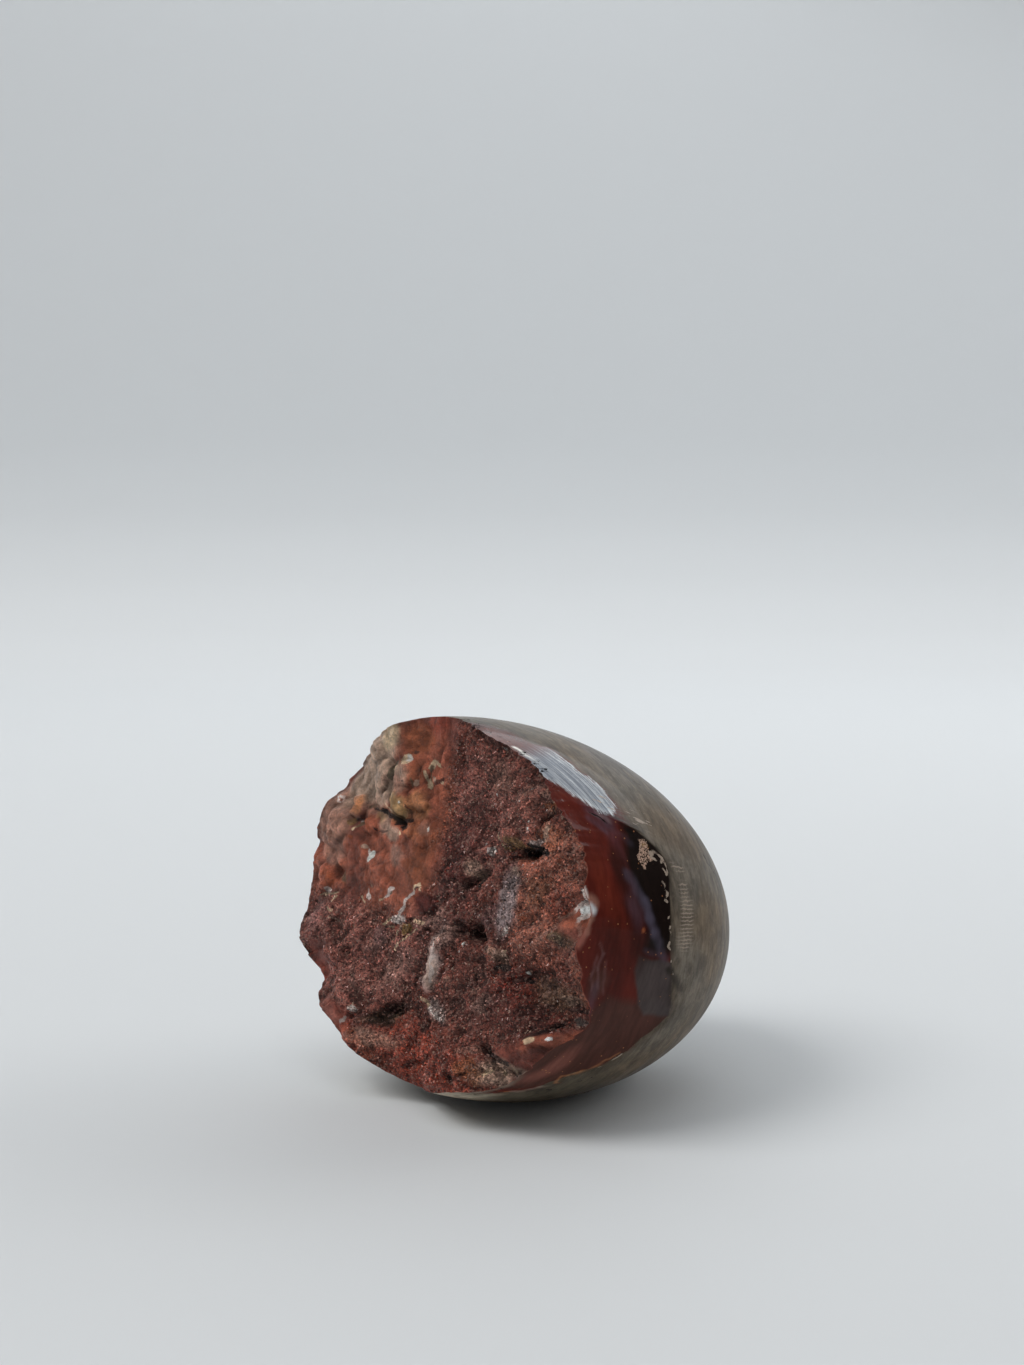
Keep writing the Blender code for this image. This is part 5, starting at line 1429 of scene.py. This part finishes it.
feather = number(tree, "MULTIPLY_ADD", (0, -1300), threads, 2.2, -1.1)
feathered = number(tree, "ADD", (200, -1300), band_bent, feather)
band_now = spread(tree, (400, -1300), feathered, -0.30, 0.35)
band_along = attribute(tree, "band_along", (200, -1450)).outputs["Fac"]
band_now = product(tree, (600, -1300), band_now, spread(tree, (400, -1450), band_along, 14.0, 9.5, 0.0, 1.0))
thread_white = spread(tree, (0, -1500), threads, 0.45, 0.60)
fine_white = spread(tree, (0, -1100), fine_threads, 0.48, 0.60)
thread_white = number(tree, "MULTIPLY_ADD", (100, -1500), fine_white, 0.55, thread_white)
edge_white = spread(tree, (200, -1600), band_bent, 0.9, 0.1, 0.0, 0.45)
white_share = number(tree, "MULTIPLY_ADD", (400, -1600), thread_white, 0.55, edge_white)
cloud_share = spread(tree, (400, -1750), soft_cloud, 0.30, 0.62, 0.25, 1.0)
white_share = product(tree, (600, -1600), white_share, cloud_share)
band_colour = blend(tree, (800, -1300), white_share, PALETTE["band_blue"], PALETTE["band_white"])
band_dark = spread(tree, (600, -1800), fine_threads, 0.46, 0.36, 0.0, 0.55)
band_colour = blend(tree, (1000, -1300), band_dark, band_colour, PALETTE["reflection_and_thread_grey"])
print("band is drawn")

# %% Grey skin: rings, clouds, scuffs, pores and ribs
ring_place = stretched(tree, (-1200, -1800), here, (0.10, 0.10, 1.25))
rings = noise_node(tree, (-1000, -1800), ring_place, 1.0, 6.0, 0.68)
ring_shade = spread(tree, (-800, -1800), rings, 0.28, 0.74, 0.88, 1.14)
cloud_place = stretched(tree, (-1200, -2000), here, (0.22, 0.26, 0.34))
cloud = noise_node(tree, (-1000, -2000), cloud_place, 1.0, 7.0, 0.72)
cloud_shade = spread(tree, (-800, -2000), cloud, 0.44, 0.57, 0.82, 1.18)
scuff_place = stretched(tree, (-1200, -2100), here, (0.30, 0.40, 1.2))
scuff = noise_node(tree, (-1000, -2050), scuff_place, 1.0, 7.0, 0.76)
scuff_shade = spread(tree, (-800, -2100), scuff, 0.36, 0.64, 0.74, 1.28)
cloud_shade = product(tree, (-700, -2050), cloud_shade, scuff_shade)
pores = noise_node(tree, (-1000, -2200), here, 3.2, 2.0, 0.5)
pore_mask = spread(tree, (-800, -2200), pores, 0.73, 0.79)
skin_shade = product(tree, (-600, -1900), ring_shade, cloud_shade)
skin_shaded = scaled(tree, (-400, -1800), painted_colour, skin_shade)
skin_colour = blend(tree, (-200, -1800), pore_mask, skin_shaded, PALETTE["dark"])
rib_split = add(tree, "ShaderNodeSeparateXYZ", (-600, -2400))
tree.links.new(here, rib_split.inputs["Vector"])
rib_bend = product(tree, (-600, -2600), edge_noise, 9.0)
rib_wave = number(tree, "MULTIPLY_ADD", (-400, -2400), rib_split.outputs["Y"], 14.0, rib_bend)
rib_line = spread(tree, (-200, -2400), number(tree, "SINE", (-300, -2500), rib_wave), 0.1, 0.9)
rib_patches = attribute(tree, "ribs", (-200, -2600)).outputs["Fac"]
rib_share = product(tree, (0, -2400), rib_line, rib_patches, 0.8)
skin_colour = blend(tree, (400, -1800), rib_share, skin_colour, PALETTE["lace"])
polish_colour = blend(tree, (1400, 600), skin_mask, glass_colour, skin_colour)
polish_colour = blend(tree, (1500, 600), band_now, polish_colour, band_colour)
polish_colour = blend(tree, (1600, 600), lace_mask, polish_colour, PALETTE["lace"])
polish_colour = blend(tree, (1800, 600), crack_mask, polish_colour, PALETTE["black"])
tree.links.new(polish_colour, shader.inputs["Base Color"])

skin_rough = spread(tree, (1400, -200), rings, 0.3, 0.7, 0.30, 0.46)
roughness = blend_numbers(tree, (1800, -200), skin_mask, GLASS_ROUGHNESS, skin_rough)
tree.links.new(roughness, shader.inputs["Roughness"])

pore_depth = number(tree, "ADD", (1400, -400), pore_mask, crack_mask)
ring_relief = product(tree, (1400, -600), rings, product(tree, (1200, -600), skin_mask, 0.8))
surface_sum = number(tree, "MULTIPLY_ADD", (1600, -400), pore_depth, -1.0, ring_relief)
bumped(tree, (1900, -400), shader, surface_sum, 0.35, 0.05)
shader.inputs["IOR"].default_value = QUARTZ_IOR
shader.inputs["Specular IOR Level"].default_value = 0.05
shader.inputs["Coat Roughness"].default_value = 0.07
tree.links.new(attribute(tree, "gloss", (2100, 300)).outputs["Fac"], shader.inputs["Coat Weight"])
print("polish finish:", len(tree.nodes), "nodes")

# %% Give the mesh its two finishes
CREASE = math.radians(42.0)

stone_mesh.materials.append(raw)
stone_mesh.materials.append(polish)
polygon_count = len(stone_mesh.polygons)
corner_rings = ring[np.array([loop.vertex_index for loop in stone_mesh.loops])].reshape(polygon_count, 4)
stone_mesh.polygons.foreach_set("material_index", (corner_rings.mean(axis=1) > RIM_RING).astype(np.int32))
stone_mesh.shade_smooth()
stone_mesh.set_sharp_from_angle(angle=CREASE)

stone = bpy.data.objects.new("chalcedony", stone_mesh)
bpy.context.scene.collection.objects.link(stone)
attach(stone, "root")
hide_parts("chalcedony_stone")
print("stone:", polygon_count, "quads")

# %% [markdown]
# ## Quartz grains
# Under a lens the sugar is a carpet of tiny quartz points. A few thousand of them are set on the sugary
# ground as real six-sided points, half sunk and leaning their own way, so that close views show a true
# crust. Each takes the colour of the ground under it, a little lighter or darker, and a few are painted pale
# as glints. None stands at the rim.

# %% Scatter and build the quartz points
POINT_COUNT = 4600
BATCH = 400
RIM_FREE_SHARE = 0.955
POINT_RADIUS = 0.09
POINT_EXTRA = 0.14
GLINT_POINT_SHARE = 0.12
POINT_TIP = 0.12
POINT_LENGTH = 1.9
POINT_LIFT = 0.15
random = np.random.default_rng(21)
print("points wanted:", POINT_COUNT)

tries_right = random.uniform(-HALF_WIDTH, HALF_WIDTH, POINT_COUNT * 4)
tries_up = random.uniform(-HALF_HEIGHT, HALF_HEIGHT, POINT_COUNT * 4)
share = face_spot(tries_right, tries_up)[2]
clumped = smoothstep(-0.3, 0.4, waves(3.5, tries_right, tries_up, 81.0))
chance = sugary(tries_right, tries_up) * (0.45 + 0.55 * clumped)
kept = (share < RIM_FREE_SHARE) & (random.uniform(0.0, 1.0, len(share)) < chance)
point_right = tries_right[kept][:POINT_COUNT]
point_up = tries_up[kept][:POINT_COUNT]
point_height = face_height(point_right, point_up)
ground, marked, mark = paint_face(point_right, point_up)
point_colour = mix(ground, marked, smoothstep(0.4, 0.6, mark))
point_count = len(point_right)
sizes = POINT_RADIUS + POINT_EXTRA * random.random(point_count) ** 2
leans = random.normal(0.0, 0.55, (point_count, 2))
spins = random.uniform(0.0, math.pi, point_count)
shades = random.uniform(0.7, 1.35, point_count)
pale = random.random(point_count) < GLINT_POINT_SHARE

crust = bmesh.new()
face_turn = Matrix((RIGHT_AXIS, UP_AXIS, OUT_AXIS)).transposed()
colours = []
for start in range(0, point_count, BATCH):
    batch = bmesh.new()
    for i in range(start, min(start + BATCH, point_count)):
        size = sizes[i]
        lifted = point_height[i] + size * POINT_LIFT
        place = CENTRE + RIGHT_AXIS * point_right[i] + UP_AXIS * point_up[i] + OUT_AXIS * lifted
        lean = Euler((leans[i, 0], leans[i, 1], spins[i])).to_matrix()
        at = Matrix.Translation(place * MM) @ (face_turn @ lean).to_4x4() @ Matrix.Scale(size * MM, 4)
        bmesh.ops.create_cone(batch, cap_ends=True, cap_tris=True, segments=6, radius1=1.0,
                              radius2=POINT_TIP, depth=POINT_LENGTH, matrix=at)
        tone = point_colour[i] * shades[i]
        # A few points are painted pale, as glints.
        if pale[i]:
            tone = tone * 0.5 + np.array(PALETTE["frost"]) * 0.5
        colours.append(tone)
    batch_mesh = bpy.data.meshes.new("batch")
    batch.to_mesh(batch_mesh)
    batch.free()
    crust.from_mesh(batch_mesh)
    bpy.data.meshes.remove(batch_mesh)
crust_mesh = bpy.data.meshes.new("quartz_points")
crust.to_mesh(crust_mesh)
crust.free()
corners_each = len(crust_mesh.vertices) // point_count
store_colour(crust_mesh, "painted", np.repeat(np.array(colours), corners_each, axis=0))
quartz = bpy.data.objects.new("quartz_points", crust_mesh)
bpy.context.scene.collection.objects.link(quartz)
print(point_count, "quartz points,", len(crust_mesh.polygons), "faces,", corners_each, "corners each")

# %% Finish of the quartz points
grain_finish = bpy.data.materials.new("quartz_sugar")
grain_finish.use_nodes = True
tree = grain_finish.node_tree
shader = tree.nodes["Principled BSDF"]
here = axis_place(tree, (-900, 0))
ground = attribute(tree, "painted", (-600, 200)).outputs["Color"]
small = speckle_node(tree, (-600, -100), here, 0.25)
tree.links.new(scaled(tree, (-300, 100), ground, small.outputs["Shade"]), shader.inputs["Base Color"])
shader.inputs["Roughness"].default_value = 0.22
shader.inputs["IOR"].default_value = QUARTZ_IOR
crust_mesh.materials.append(grain_finish)
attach(quartz, "root")
print("quartz finish:", len(tree.nodes), "nodes")
